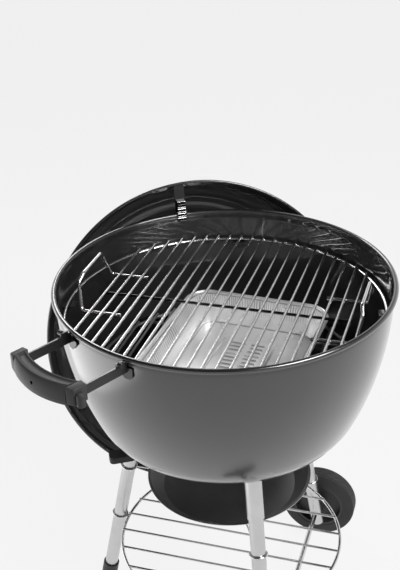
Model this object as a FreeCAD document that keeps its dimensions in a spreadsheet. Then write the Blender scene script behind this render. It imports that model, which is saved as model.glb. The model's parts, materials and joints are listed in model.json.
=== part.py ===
import FreeCAD, Part
import math
import os

import Sketcher
from FreeCAD import Placement, Rotation, Vector

# Kettle charcoal grill, in millimetres. +Z is up and z = 0 is the floor. The front leg
# points along -Y and the axle lies along X. The bowl's fittings, the side handle, the
# grates and the lid that hangs by its hook on the rim, are laid out in one frame turned
# on the legs, so that the lid hangs between two legs.

UPRIGHT = Vector(0, 0, 1)
FULL_TURN = 360

SIZES = [
    # Where the bowl stands.
    ("bowl_axis_x", 45.32),
    ("bowl_axis_y", 60.75),
    ("rim_height", 720.0),
    ("top_turn", 62.25),
    # Enamelled bowl: a rolled bead, a short neck, a steep side, a knuckle and a shallow base.
    ("bowl_bead_centre", 282.5),
    ("bowl_bead_radius", 4.45),
    ("bowl_wall", 1.2),
    ("bowl_neck", 10.5),
    ("bowl_shoulder", 13.5),
    ("bowl_side_start", 0.0),
    ("bowl_wall_radius", 281.0),
    ("bowl_side_radius", 560.0),
    ("bowl_knuckle_rise", 85.0),
    ("bowl_knuckle_radius", 115.0),
    ("bowl_depth", 310.0),
    # Air and ash vents in the base, and the sweep that opens and shuts them.
    ("vent_inner_radius", 42.0),
    ("vent_outer_radius", 94.0),
    ("vent_half_angle", 16.0),
    ("blade_edge", 6.0),
    ("blade_thickness", 1.5),
    ("blade_gap", 0.6),
    ("blade_hub_radius", 26.0),
    ("blade_half_angle", 23.0),
    ("shaft_radius", 4.0),
    ("shaft_clearance", 0.08),
    ("shaft_head_radius", 8.0),
    ("shaft_head_height", 4.0),
    ("lever_drop", 14.0),
    ("lever_thickness", 2.5),
    ("lever_width", 16.0),
    ("lever_reach", 214.0),
    ("lever_grip_length", 46.0),
    ("lever_grip_width", 24.0),
    ("lever_grip_end", 4.0),
    ("lever_grip_height", 12.0),
    ("lever_grip_round", 8.0),
    # Cooking grate: parallel rods on a ring, with one cross rod and two wire handles.
    ("grate_turn", 27.75),
    ("cooking_ring_radius", 270.0),
    ("cooking_ring_wire", 3.0),
    ("cooking_ring_drop", 51.7),
    ("cooking_rod_radius", 2.4),
    ("cooking_rod_pitch", 21.35),
    ("cooking_rod_count", 21),
    ("cooking_rod_overhang", 2.0),
    ("weld_gap", 0.1),
    ("cross_rod_radius", 2.5),
    ("cross_rod_overhang", 2.5),
    ("loop_inner_reach", 162.0),
    ("loop_bend_reach", 232.0),
    ("loop_top_reach", 240.5),
    ("loop_grip_reach", 237.0),
    ("loop_foot_half", 69.5),
    ("loop_top_half", 52.8),
    ("loop_grip_half", 38.0),
    ("loop_top_drop", 8.0),
    ("loop_grip_rise", 4.0),
    ("loop_bend", 9.0),
    # Charcoal grate: thicker rods on a smaller ring, over two cross rods.
    ("charcoal_ring_radius", 230.0),
    ("charcoal_ring_wire", 3.0),
    ("charcoal_top_drop", 168.3),
    ("charcoal_rod_radius", 2.5),
    ("charcoal_rod_pitch", 25.4),
    ("charcoal_rod_count", 17),
    ("charcoal_rod_overhang", 2.0),
    ("charcoal_cross_offset", 125.0),
    ("charcoal_cross_radius", 3.0),
    # Brackets welded inside the bowl for both grates.
    ("bracket_count", 4),
    ("bracket_turn", 10.25),
    ("bracket_width", 22.0),
    ("bracket_sheet", 1.6),
    ("bracket_flange", 15.0),
    ("bracket_gap", 0.3),
    ("seat_gap", 0.2),
    ("cooking_shelf_reach", 10.0),
    ("charcoal_shelf_reach", 10.0),
    # Foil drip pan.
    ("pan_offset_x", 21.0),
    ("pan_offset_y", -5.8),
    ("pan_turn", 24.3),
    ("pan_length", 336.0),
    ("pan_width", 271.0),
    ("pan_height", 59.0),
    ("pan_corner", 42.0),
    ("pan_slope", 25.0),
    ("pan_sheet", 0.8),
    ("pan_flange", 6.0),
    ("pan_hem", 2.2),
    ("pan_seat_gap", 0.3),
    # Side handle: two brackets with flat arms, a bowed grip and its end caps.
    ("arm_half_spacing", 65.0),
    ("arm_end_inset", 12.0),
    ("arm_height", 16.0),
    ("arm_thickness", 3.0),
    ("arm_top_drop", 6.0),
    ("ear_length", 14.0),
    ("ear_rise", 6.0),
    ("plate_outer", 10.0),
    ("plate_inner", 20.0),
    ("plate_height", 20.0),
    ("plate_step", 5.0),
    ("plate_slant", 16.0),
    ("plate_thickness", 2.0),
    ("plate_corner", 7.0),
    ("plate_top_drop", 14.0),
    ("plate_gap", 0.3),
    ("stud_radius", 4.0),
    ("stud_length", 7.0),
    ("stud_reach", 290.0),
    ("stud_drop", 1.5),
    ("grip_half_length", 61.0),
    ("grip_depth", 29.0),
    ("grip_inner_bow", 13.0),
    ("grip_outer_reach", 386.0),
    ("grip_outer_bow", 13.0),
    ("grip_height", 35.0),
    ("grip_top_rise", 5.0),
    ("grip_round", 8.0),
    ("grip_hole_radius", 3.0),
    ("grip_hole_depth", 7.0),
    ("grip_hole_drop", 9.0),
    ("cap_gap", 0.2),
    ("cap_length", 16.0),
    ("cap_height", 31.0),
    ("cap_drop", 1.0),
    ("cap_lap", 2.0),
    ("cap_chamfer", 7.0),
    ("post_radius", 7.2),
    ("post_standoff", 4.8),
    ("post_inset", 17.0),
    ("post_top_drop", 3.0),
    ("post_height", 29.0),
    ("slot_clearance", 0.3),
    # Legs, sockets, foot, axle and wheels.
    ("leg_radius", 12.7),
    ("leg_wall", 1.4),
    ("leg_foot_radius", 265.0),
    ("leg_top_radius", 171.0),
    ("leg_top_gap", 10.35),
    ("wheel_leg_turn", 30.0),
    ("socket_wall", 1.8),
    ("socket_clearance", 0.3),
    ("socket_length", 62.0),
    ("socket_weld_gap", 0.25),
    ("foot_wall", 2.6),
    ("foot_sole", 12.0),
    ("foot_length", 40.0),
    ("axle_radius", 5.0),
    ("axle_clearance", 0.2),
    ("leg_tail", 28.0),
    ("plug_flange", 3.0),
    ("plug_depth", 12.0),
    ("wheel_radius", 76.0),
    ("tyre_width", 36.0),
    ("tyre_depth", 22.0),
    ("tyre_round", 7.0),
    ("tyre_gap", 0.3),
    ("wheel_bore_clearance", 0.08),
    ("wheel_boss_radius", 15.0),
    ("wheel_boss_length", 42.0),
    ("wheel_web", 5.0),
    ("wheel_rim_depth", 6.0),
    ("wheel_gap", 3.0),
    ("axle_cap_radius", 12.0),
    ("axle_cap_length", 13.0),
    ("axle_cap_bore_depth", 9.0),
    ("axle_cap_gap", 0.5),
    ("axle_cap_chamfer", 3.5),
    # Bottom rack and ash dish.
    ("rack_height", 170.0),
    ("rack_wire", 3.0),
    ("rack_rod_radius", 2.2),
    ("rack_rod_pitch", 46.0),
    ("rack_rod_count", 9),
    ("rack_gap", 0.3),
    ("clip_wire", 1.5),
    ("clip_gap", 0.3),
    ("dish_radius", 150.0),
    ("dish_floor_radius", 122.0),
    ("dish_height", 24.0),
    ("dish_lip", 4.0),
    ("dish_wall", 1.0),
    ("dish_drop", 112.0),
    ("hanger_wire", 1.8),
    ("hanger_inner_reach", 108.0),
    # Lid, hung on the rim with its mouth towards the bowl.
    ("lid_turn", 146.0),
    ("lid_tilt", 14.0),
    ("lid_centre_reach", 218.2),
    ("lid_centre_drop", 230.0),
    ("lid_bead_centre", 300.6),
    ("lid_bead_radius", 2.4),
    ("lid_wall", 1.1),
    ("lid_neck", 23.6),
    ("lid_shoulder", 27.6),
    ("lid_side_start", 27.6),
    ("lid_wall_radius", 290.5),
    ("lid_side_radius", 427.0),
    ("lid_knuckle_rise", 117.0),
    ("lid_knuckle_radius", 101.0),
    ("lid_depth", 198.0),
    # Lid handle and damper.
    ("lid_foot_inner", 52.0),
    ("lid_foot_outer", 76.0),
    ("lid_bridge_rise", 40.0),
    ("lid_bridge_width", 18.0),
    ("lid_bridge_sheet", 2.0),
    ("lid_grip_radius", 14.0),
    ("lid_grip_half_length", 46.0),
    ("lid_screw_offset", 65.0),
    ("lid_screw_radius", 3.0),
    ("lid_screw_clearance", 0.35),
    ("lid_screw_head_radius", 6.0),
    ("lid_screw_head_height", 3.0),
    ("damper_offset", 150.0),
    ("damper_radius", 44.0),
    ("damper_sheet", 1.4),
    ("damper_gap", 0.5),
    ("damper_hole_radius", 9.0),
    ("damper_hole_circle", 26.0),
    ("damper_hole_count", 4),
    ("rivet_radius", 3.0),
    ("rivet_clearance", 0.08),
    ("rivet_hole_clearance", 0.4),
    ("rivet_head_radius", 7.0),
    ("rivet_head_height", 2.5),
    ("tab_length", 22.0),
    ("tab_width", 16.0),
    ("tab_lap", 4.0),
    # Hook that hangs the lid on the rim, and the bright clip on its nose.
    ("hook_turn", 150.4),
    ("hook_width", 19.5),
    ("hook_sheet", 1.2),
    ("hook_rest_gap", 0.3),
    ("hook_flange", 14.0),
    ("hook_flange_start", 296.0),
    ("hook_nose_drop", 12.0),
    ("hook_neck_rise", 22.0),
    ("hook_heel_gap", 1.5),
    ("hook_skirt_gap", 0.1),
    ("clip_width", 15.5),
    ("clip_sheet", 0.8),
    ("clip_drop", 9.0),
    ("clip_rise", 24.0),
    ("clip_top_rise", 29.5),
    ("clip_lean", 3.5),
]

WORKED = [
    # The neck of each dish, and where its side, knuckle and base arcs meet as tangents.
    (part + name, formula.replace("#", "Sizes." + part).replace("@", part))
    for part in ("bowl_", "lid_")
    for name, formula in (
        ("neck_inner", "#bead_centre - #bead_radius"),
        ("neck_outer", "#bead_centre - #bead_radius + #wall"),
        ("side_centre", "#wall_radius - #side_radius"),
        ("side_angle", "asin((#depth - #knuckle_rise) / #side_radius)"),
        ("knuckle_x", "@side_centre + (#side_radius - #knuckle_radius) * cos(@side_angle)"),
        ("knuckle_z", "(#side_radius - #knuckle_radius) * sin(@side_angle)"),
        ("base_gap", "#depth - @knuckle_z"),
        (
            "base_radius",
            "(@knuckle_x ^ 2 + @base_gap ^ 2 - #knuckle_radius ^ 2)"
            " / (2 * (@base_gap - #knuckle_radius))",
        ),
        ("base_angle", "asin(@knuckle_x / (@base_radius - #knuckle_radius))"),
    )
] + [
    ("leg_top_height", "Sizes.rim_height - Sizes.bowl_side_start - bowl_knuckle_z"
                       " - sqrt(Sizes.bowl_knuckle_radius ^ 2"
                       " - (Sizes.leg_top_radius - bowl_knuckle_x) ^ 2) - Sizes.leg_top_gap"),
    ("leg_lean", "atan((Sizes.leg_foot_radius - Sizes.leg_top_radius) / leg_top_height)"),
    ("grip_inner_reach", "Sizes.grip_outer_reach - Sizes.grip_depth"),
    ("cap_inner_reach", "grip_inner_reach - Sizes.cap_lap"),
    ("arm_end_reach", "Sizes.grip_outer_reach - Sizes.arm_end_inset"),
    ("post_reach", "Sizes.grip_outer_reach - Sizes.post_inset"),
    ("post_offset", "Sizes.grip_half_length + Sizes.cap_gap + Sizes.cap_length"
                    " + Sizes.post_standoff"),
    ("cross_rod_length", "(Sizes.cooking_rod_count - 1) * Sizes.cooking_rod_pitch"
                         " + 2 * Sizes.cross_rod_overhang"),
    ("cooking_rod_drop", "Sizes.cooking_ring_drop - Sizes.cooking_ring_wire - Sizes.weld_gap"
                         " - Sizes.cooking_rod_radius"),
    ("cross_rod_drop", "cooking_rod_drop + Sizes.cooking_rod_radius + Sizes.weld_gap"
                       " + Sizes.cross_rod_radius"),
    ("charcoal_rod_drop", "Sizes.charcoal_top_drop + Sizes.charcoal_rod_radius"),
    ("charcoal_ring_drop", "charcoal_rod_drop + Sizes.charcoal_rod_radius + Sizes.weld_gap"
                           " + Sizes.charcoal_ring_wire"),
    ("charcoal_cross_drop", "charcoal_rod_drop + Sizes.charcoal_rod_radius + Sizes.weld_gap"
                            " + Sizes.charcoal_cross_radius"),
    ("leg_axle_radius", "Sizes.leg_foot_radius - Sizes.wheel_radius * tan(leg_lean)"),
    ("leg_axle_x", "leg_axle_radius * cos(Sizes.wheel_leg_turn)"),
    ("leg_axle_y", "leg_axle_radius * sin(Sizes.wheel_leg_turn)"),
    ("wheel_inner_x", "leg_axle_x + Sizes.leg_radius / cos(leg_lean) + Sizes.wheel_gap"),
    ("clip_reach", "Sizes.leg_radius + Sizes.clip_gap + Sizes.clip_wire"),
    ("clip_height", "Sizes.rack_height + clip_reach * sin(leg_lean)"),
    ("rack_ring_radius", "Sizes.leg_foot_radius - clip_height * tan(leg_lean)"
                         " - clip_reach * cos(leg_lean) - Sizes.clip_wire"
                         " - Sizes.rack_gap - Sizes.rack_wire"),
    ("dish_rest_height", "Sizes.rim_height - Sizes.bowl_side_start - Sizes.bowl_depth"
                         " - Sizes.dish_drop"),
    ("lid_top_height", "Sizes.lid_side_start + Sizes.lid_depth"),
    ("lid_sphere_height", "lid_top_height - lid_base_radius"),
]

doc = FreeCAD.newDocument("KettleGrill")
sizes_sheet = doc.addObject("Spreadsheet::Sheet", "Sizes")
worked_sheet = doc.addObject("Spreadsheet::Sheet", "Worked")
scratch_sheet = doc.addObject("Spreadsheet::Sheet", "Scratch")
for row, (alias, value) in enumerate(SIZES, start=1):
    sizes_sheet.set(f"A{row}", alias)
    sizes_sheet.set(f"B{row}", str(value))
    sizes_sheet.setAlias(f"B{row}", alias)
doc.recompute()
for row, (alias, formula) in enumerate(WORKED, start=1):
    worked_sheet.set(f"A{row}", alias)
    worked_sheet.set(f"B{row}", "=" + formula)
    worked_sheet.setAlias(f"B{row}", alias)
    worked_sheet.recompute()

PLAIN = {alias for alias, value in SIZES}
nodes = {}


def size(alias):
    """A named size as a plain number, in millimetres or degrees."""
    value = (sizes_sheet if alias in PLAIN else worked_sheet).get(alias)
    return float(getattr(value, "Value", value))


def number(expression):
    """What an expression over the sheets comes to, as a plain number."""
    scratch_sheet.set("A1", "=" + expression)
    scratch_sheet.recompute()
    value = scratch_sheet.get("A1")
    return float(getattr(value, "Value", value))


def bind(thing, **properties):
    """Tie an object's properties to expressions over the sheets."""
    for name, expression in properties.items():
        thing.setExpression(name, expression)


def keep(label, thing, frame=None):
    """Make an object a sub-part with this label, standing in a frame."""
    thing.Label = label
    if frame is not None:
        thing.Placement = frame
    nodes[label] = thing
    return thing


def at(x=0.0, y=0.0, z=0.0, turn=None):
    """A placement from plain numbers."""
    return Placement(Vector(x, y, z), turn or Rotation())


def about(axis, angle):
    """A rotation about the x, y or z axis."""
    vectors = {"x": Vector(1, 0, 0), "y": Vector(0, 1, 0), "z": Vector(0, 0, 1)}
    return Rotation(vectors[axis], angle)


# ---------------------------------------------------------------- sketches and features


def new_body(label):
    """An empty PartDesign body."""
    return doc.addObject("PartDesign::Body", "Body_" + label)


def new_sketch(body, plane="XZ_Plane"):
    """A sketch on one of the body's own origin planes."""
    sketch = body.newObject("Sketcher::SketchObject", body.Name + "_sketch")
    support = [item for item in body.Origin.OriginFeatures if item.Role == plane][0]
    sketch.AttachmentSupport = [(support, "")]
    sketch.MapMode = "FlatFace"
    return sketch


def drive(sketch, constraint, expression):
    """Add a dimension to a sketch and tie it to an expression."""
    index = sketch.addConstraint(constraint)
    sketch.setExpression(f"Constraints[{index}]", expression)


def pin(sketch, geometry, point, x, y):
    """Hold one point of a sketch at coordinates given as expressions."""
    for kind, expression, axis in (("DistanceX", x, -2), ("DistanceY", y, -1)):
        if expression == "0":
            sketch.addConstraint(Sketcher.Constraint("PointOnObject", geometry, point, axis))
        else:
            value = number(expression)
            drive(sketch, Sketcher.Constraint(kind, geometry, point, value), expression)


def arc_between(start, finish, radius, side):
    """The shorter arc from start to finish, with its centre on the left (1) or right (-1)."""
    chord = finish - start
    height = math.sqrt(max(radius ** 2 - (chord.Length / 2) ** 2, 0.0))
    across = Vector(-chord.y, chord.x, 0).normalize()
    centre = (start + finish) * 0.5 + across * (height * side)
    angles = [math.atan2(end.y - centre.y, end.x - centre.x) for end in (start, finish)]
    circle = Part.Circle(centre, UPRIGHT, radius)
    if side > 0:
        return Part.ArcOfCircle(circle, angles[0], angles[1]), (1, 2)
    return Part.ArcOfCircle(circle, angles[1], angles[0]), (2, 1)


def outline(sketch, corners, arcs=None):
    """Draw a closed outline through corners; arcs gives the radius and side of round edges."""
    arcs = arcs or {}
    points = [Vector(number(x), number(y), 0) for x, y in corners]
    edges = []
    for index, start in enumerate(points):
        finish = points[(index + 1) % len(points)]
        if index in arcs:
            radius, side = arcs[index]
            shape, order = arc_between(start, finish, number(radius), side)
        else:
            shape, order = Part.LineSegment(start, finish), (1, 2)
        edges.append((sketch.addGeometry(shape), order))
    for index, (geometry, order) in enumerate(edges):
        following, next_order = edges[(index + 1) % len(edges)]
        joint = Sketcher.Constraint("Coincident", geometry, order[1], following, next_order[0])
        sketch.addConstraint(joint)
        pin(sketch, geometry, order[0], *corners[index])
        if index in arcs:
            radius = arcs[index][0]
            constraint = Sketcher.Constraint("Radius", geometry, number(radius))
            drive(sketch, constraint, radius)


def circle(sketch, x, y, radius):
    """Draw a circle whose centre and radius are expressions."""
    centre = Vector(number(x), number(y), 0)
    geometry = sketch.addGeometry(Part.Circle(centre, UPRIGHT, number(radius)))
    pin(sketch, geometry, 3, x, y)
    drive(sketch, Sketcher.Constraint("Radius", geometry, number(radius)), radius)


def rounded_rectangle(sketch, half_x, half_y, corner, middle_x="0", middle_y="0"):
    """Draw a rectangle with round corners from expressions for its half sides."""
    corners = []
    arcs = {}
    for index, (sign_x, sign_y) in enumerate(((1, -1), (1, 1), (-1, 1), (-1, -1))):
        inner = (
            f"{middle_x} + {sign_x} * ({half_x} - ({corner}))",
            f"{middle_y} + {sign_y} * ({half_y})",
        )
        outer = (
            f"{middle_x} + {sign_x} * ({half_x})",
            f"{middle_y} + {sign_y} * ({half_y} - ({corner}))",
        )
        corners += [inner, outer] if index in (0, 2) else [outer, inner]
        arcs[2 * index] = (corner, 1)
    outline(sketch, corners, arcs)


def revolve(body, sketch):
    """Turn a sketch a full circle about its own vertical axis."""
    feature = body.newObject("PartDesign::Revolution", body.Name + "_revolution")
    feature.Profile = sketch
    feature.ReferenceAxis = (sketch, ["V_Axis"])
    feature.Angle = FULL_TURN
    sketch.Visibility = False
    return feature


def pad(body, sketch, length, reverse=False):
    """Push a sketch out by a length."""
    feature = body.newObject("PartDesign::Pad", body.Name + "_pad")
    feature.Profile = sketch
    feature.Reversed = reverse
    bind(feature, Length=length)
    sketch.Visibility = False
    return feature


def cut_through(body, sketch, reverse=False):
    """Cut a sketch through the whole body, to one side of its plane."""
    doc.recompute()
    volume = body.Shape.Volume
    feature = body.newObject("PartDesign::Pocket", body.Name + "_pocket")
    feature.Profile = sketch
    feature.Type = "ThroughAll"
    feature.Reversed = reverse
    sketch.Visibility = False
    doc.recompute()
    if body.Shape.Volume >= volume:
        raise RuntimeError(f"{feature.Name} cuts nothing")
    return feature


def around(body, feature, sketch, count):
    """Repeat a feature around the sketch's normal."""
    pattern = body.newObject("PartDesign::PolarPattern", feature.Name + "_pattern")
    pattern.Originals = [feature]
    pattern.Axis = (sketch, ["N_Axis"])
    pattern.Angle = FULL_TURN
    pattern.Occurrences = count
    body.Tip = pattern
    return pattern


def polar(radius, angle):
    """Sketch coordinates of a point at a radius and an angle, as expressions."""
    return (f"({radius}) * cos({angle})", f"({radius}) * sin({angle})")


def cylinder(name, radius, height, placement):
    """A bound Part cylinder along its own z axis."""
    thing = doc.addObject("Part::Cylinder", name)
    bind(thing, Radius=radius, Height=height)
    thing.Placement = placement
    return thing


def box(name, length, width, height, placement):
    """A bound Part box from its own corner."""
    thing = doc.addObject("Part::Box", name)
    bind(thing, Length=length, Width=width, Height=height)
    thing.Placement = placement
    return thing


def torus(name, radius, wire, placement):
    """A bound Part torus in its own XY plane."""
    thing = doc.addObject("Part::Torus", name)
    bind(thing, Radius1=radius, Radius2=wire)
    thing.Placement = placement
    return thing


def cut(name, base, tool):
    """One shape less another."""
    thing = doc.addObject("Part::Cut", name)
    thing.Base = base
    thing.Tool = tool
    return thing


def fuse(name, base, tool):
    """Two shapes as one."""
    thing = doc.addObject("Part::Fuse", name)
    thing.Base = base
    thing.Tool = tool
    return thing


def group(label, things):
    """Several separate solids that share one node."""
    thing = doc.addObject("Part::Compound", "Group_" + label)
    thing.Links = things
    return keep(label, thing)


# ---------------------------------------------------------------- bent wire and strip


def bent_path(points, bend):
    """Straight runs between points, joined by tangent arcs of one radius."""
    edges = []
    start = points[0]
    for before, corner, after in zip(points, points[1:], points[2:]):
        back = (before - corner).normalize()
        ahead = (after - corner).normalize()
        half = back.getAngle(ahead) / 2
        first = corner + back * (bend / math.tan(half))
        last = corner + ahead * (bend / math.tan(half))
        middle = corner + (back + ahead).normalize() * (bend / math.sin(half) - bend)
        edges.append(Part.LineSegment(start, first).toShape())
        edges.append(Part.Arc(first, middle, last).toShape())
        start = last
    edges.append(Part.LineSegment(start, points[-1]).toShape())
    return Part.Wire(edges)


def wire_shape(points, bend, radius):
    """A round wire bent along points, checked against its section times its length."""
    path = bent_path(points, bend)
    section = Part.Wire([Part.Circle(points[0], points[1] - points[0], radius).toShape()])
    shape = path.makePipeShell([section], True, True)
    expected = math.pi * radius ** 2 * path.Length
    if abs(shape.Volume - expected) > 0.01 * expected:
        raise RuntimeError("a bent wire has the wrong volume")
    return shape


def strip_shape(points, thickness, width):
    """A flat strip bent along (x, z) points, its width centred on the XZ plane."""
    path = [Vector(x, 0, z) for x, z in points]
    runs = [(after - before).normalize() for before, after in zip(path, path[1:])]
    normals = [Vector(-run.z, 0, run.x) for run in runs]
    sides = []
    for sign in (1, -1):
        side = []
        for index, point in enumerate(path):
            first = normals[max(index - 1, 0)]
            second = normals[min(index, len(normals) - 1)]
            mitre = (first + second).normalize()
            side.append(point + mitre * (sign * thickness / 2 / mitre.dot(second)))
        sides.append(side)
    rim = sides[0] + sides[1][::-1]
    face = Part.Face(Part.makePolygon(rim + rim[:1]))
    face.translate(Vector(0, -width / 2, 0))
    return face.extrude(Vector(0, width, 0))


def solid_feature(label, shape, frame):
    """Keep a computed shape as a sub-part."""
    thing = doc.addObject("Part::Feature", "Shape_" + label)
    thing.Shape = shape
    return keep(label, thing, frame)


# ---------------------------------------------------------------- frames

LEG_AZIMUTHS = {
    "front": -90,
    "right": size("wheel_leg_turn"),
    "left": 180 - size("wheel_leg_turn"),
}

FLOOR = at(size("bowl_axis_x"), size("bowl_axis_y"), 0)
RIM = FLOOR * at(z=size("rim_height"))
TOP = RIM * at(turn=about("z", size("top_turn")))
GRATE = TOP * at(turn=about("z", size("grate_turn")))
HANDLE = TOP * at(turn=about("z", 180))
MOUTH_OUTWARD = Rotation(Vector(1, 1, 1), 120)
LID = (
    TOP
    * at(turn=about("z", size("lid_turn")))
    * at(size("lid_centre_reach"), 0, -size("lid_centre_drop"))
    * at(turn=about("y", size("lid_tilt")) * MOUTH_OUTWARD)
)


def leg_frame(azimuth):
    """Origin on the floor under the leg's axis, with z along the leg."""
    turn = about("z", azimuth)
    foot = turn.multVec(Vector(size("leg_foot_radius"), 0, 0))
    return FLOOR * Placement(foot, turn * about("y", -size("leg_lean")))


def along_leg(height):
    """The distance along a leg that reaches a height above the floor."""
    return height / math.cos(math.radians(size("leg_lean")))


# ---------------------------------------------------------------- dishes with a rolled bead


def dish(label, part, sign):
    """A thin pressed dish with a rolled bead; sign says which way its depth runs."""
    s = "Sizes." + part
    w = "Worked." + part
    start = f"{s}side_start"
    end = f"{s}shoulder"
    base = f"{start} + {s}depth - {w}base_radius"
    curl = 100

    def side_point(thickness):
        reach = f"({s}side_radius - {thickness})"
        return f"{w}side_centre + sqrt({reach} ^ 2 - ({end} - {start}) ^ 2)", end

    def side_end(thickness):
        reach = f"({s}side_radius - {thickness})"
        return (
            f"{w}side_centre + {reach} * cos({w}side_angle)",
            f"{start} + {reach} * sin({w}side_angle)",
        )

    def base_end(thickness):
        reach = f"({w}base_radius - {thickness})"
        return f"{reach} * sin({w}base_angle)", f"{base} + {reach} * cos({w}base_angle)"

    inner_curl = f"({s}bead_radius - {s}wall)"
    corners = [
        ("0", f"{start} + {s}depth"),
        base_end("0"),
        side_end("0"),
        side_point("0"),
        (f"{w}neck_outer", f"{s}neck"),
        (f"{w}neck_outer", "0"),
        (f"{s}bead_centre", f"-{inner_curl}"),
        (f"{s}bead_centre + {inner_curl}", "0"),
        (f"{s}bead_centre + {inner_curl} * cos({curl})", f"{inner_curl} * sin({curl})"),
        (f"{s}bead_centre + {s}bead_radius * cos({curl})", f"{s}bead_radius * sin({curl})"),
        (f"{s}bead_centre + {s}bead_radius", "0"),
        (f"{s}bead_centre", f"-{s}bead_radius"),
        (f"{w}neck_inner", "0"),
        (f"{w}neck_inner", f"{s}neck"),
        side_point(f"{s}wall"),
        side_end(f"{s}wall"),
        base_end(f"{s}wall"),
        ("0", f"{start} + {s}depth - {s}wall"),
    ]
    flipped = [(x, y if y == "0" else f"{sign} * ({y})") for x, y in corners]
    arcs = {
        0: (f"{w}base_radius", -sign),
        1: (f"{s}knuckle_radius", -sign),
        2: (f"{s}side_radius", -sign),
        5: (inner_curl, sign),
        6: (inner_curl, sign),
        7: (inner_curl, sign),
        9: (f"{s}bead_radius", -sign),
        10: (f"{s}bead_radius", -sign),
        11: (f"{s}bead_radius", -sign),
        14: (f"{s}side_radius - {s}wall", sign),
        15: (f"{s}knuckle_radius - {s}wall", sign),
        16: (f"{w}base_radius - {s}wall", sign),
    }
    body = new_body(label)
    sketch = new_sketch(body)
    outline(sketch, flipped, arcs)
    revolve(body, sketch)
    doc.recompute()
    return body


def make_bowl():
    body = dish("bowl", "bowl_", -1)
    vents = new_sketch(body, "XY_Plane")
    half = "Sizes.vent_half_angle"
    outline(
        vents,
        [
            polar("Sizes.vent_inner_radius", f"-{half}"),
            polar("Sizes.vent_outer_radius", f"-{half}"),
            polar("Sizes.vent_outer_radius", half),
            polar("Sizes.vent_inner_radius", half),
        ],
        {1: ("Sizes.vent_outer_radius", 1), 3: ("Sizes.vent_inner_radius", -1)},
    )
    around(body, cut_through(body, vents), vents, 3)
    bore = new_sketch(body, "XY_Plane")
    circle(bore, "0", "0", "Sizes.shaft_radius + Sizes.shaft_clearance")
    cut_through(body, bore)
    keep("bowl", body, RIM * at(turn=about("z", -30)))


def bowl_envelope():
    """The bowl's outer shape, filled and a weld gap larger, to trim the sockets with."""
    gap = "Sizes.socket_weld_gap"
    side = f"(Sizes.bowl_side_radius + {gap})"
    base = f"(Worked.bowl_base_radius + {gap})"
    corners = [
        ("0", f"-Sizes.bowl_depth - {gap}"),
        (
            f"{base} * sin(Worked.bowl_base_angle)",
            f"Worked.bowl_base_radius - Sizes.bowl_depth - {base} * cos(Worked.bowl_base_angle)",
        ),
        (
            f"Worked.bowl_side_centre + {side} * cos(Worked.bowl_side_angle)",
            f"-{side} * sin(Worked.bowl_side_angle)",
        ),
        (f"Sizes.bowl_wall_radius + {gap}", "0"),
        ("0", "0"),
    ]
    arcs = {
        0: (base, 1),
        1: (f"Sizes.bowl_knuckle_radius + {gap}", 1),
        2: (side, 1),
    }
    body = new_body("envelope")
    sketch = new_sketch(body)
    outline(sketch, corners, arcs)
    revolve(body, sketch)
    body.Placement = RIM
    return body


def wall_inside(drop):
    """The bowl's inner radius at a drop below the rim, on its side arc."""
    reach = size("bowl_side_radius") - size("bowl_wall")
    return size("bowl_side_centre") + math.sqrt(reach ** 2 - drop ** 2)


def make_brackets(label, shelf_drop, shelf_inner, turn):
    """Sheet brackets on the bowl's wall, each with a flat shelf at the top."""
    gap = size("bracket_gap") + size("bracket_sheet") / 2
    sag = size("bracket_width") ** 2 / (8 * wall_inside(shelf_drop))
    top = shelf_drop + size("seat_gap") + size("bracket_sheet") / 2
    bottom = top + size("bracket_flange")
    path = [
        (wall_inside(bottom) - gap - sag, -bottom),
        (wall_inside(top) - gap - sag, -top),
        (shelf_inner, -top),
    ]
    one = strip_shape(path, size("bracket_sheet"), size("bracket_width"))
    count = int(size("bracket_count"))
    parts = []
    for index in range(count):
        copy = one.copy()
        copy.rotate(Vector(0, 0, 0), UPRIGHT, turn + index * FULL_TURN / count)
        parts.append(copy)
    solid_feature(label, Part.makeCompound(parts), TOP)


def make_all_brackets():
    cooking_shelf = size("cooking_ring_radius") - size("cooking_ring_wire")
    cooking_drop = size("cooking_ring_drop") + size("cooking_ring_wire")
    charcoal_shelf = size("charcoal_ring_radius") - size("charcoal_ring_wire")
    charcoal_drop = size("charcoal_ring_drop") + size("charcoal_ring_wire")
    turn = size("grate_turn") + size("bracket_turn")
    make_brackets(
        "cooking_grate_brackets", cooking_drop,
        cooking_shelf - size("cooking_shelf_reach"), turn,
    )
    make_brackets(
        "charcoal_grate_brackets", charcoal_drop,
        charcoal_shelf - size("charcoal_shelf_reach"),
        turn + FULL_TURN / size("bracket_count") / 2,
    )


# ---------------------------------------------------------------- grates


def parallel_rods(label, count, pitch, radius, drop, ring, overhang):
    """Rods along the grate's y axis, each as long as its chord of the ring."""
    lying = about("x", -90)
    rods = []
    for index in range(count):
        step = index - (count - 1) / 2
        half = f"(sqrt({ring} ^ 2 - ({step} * {pitch}) ^ 2) + {overhang})"
        place = GRATE * at(step * number(pitch), -number(half), -number(drop), lying)
        rods.append(cylinder(f"{label}_{index}", radius, f"2 * {half}", place))
    group(label, rods)


def make_grate_handle(label, sign):
    """A wire loop: two feet under the outer rods, rising to a grip."""
    foot = -size("cooking_ring_drop")
    half = [
        Vector(size("loop_inner_reach"), size("loop_foot_half"), foot),
        Vector(size("loop_bend_reach"), size("loop_foot_half"), foot),
        Vector(size("loop_top_reach"), size("loop_top_half"), -size("loop_top_drop")),
        Vector(size("loop_grip_reach"), size("loop_grip_half"), size("loop_grip_rise")),
    ]
    other = [Vector(point.x, -point.y, point.z) for point in reversed(half)]
    points = [Vector(sign * point.x, point.y, point.z) for point in half + other]
    shape = wire_shape(points, size("loop_bend"), size("cooking_ring_wire"))
    solid_feature(label, shape, GRATE)


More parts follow.
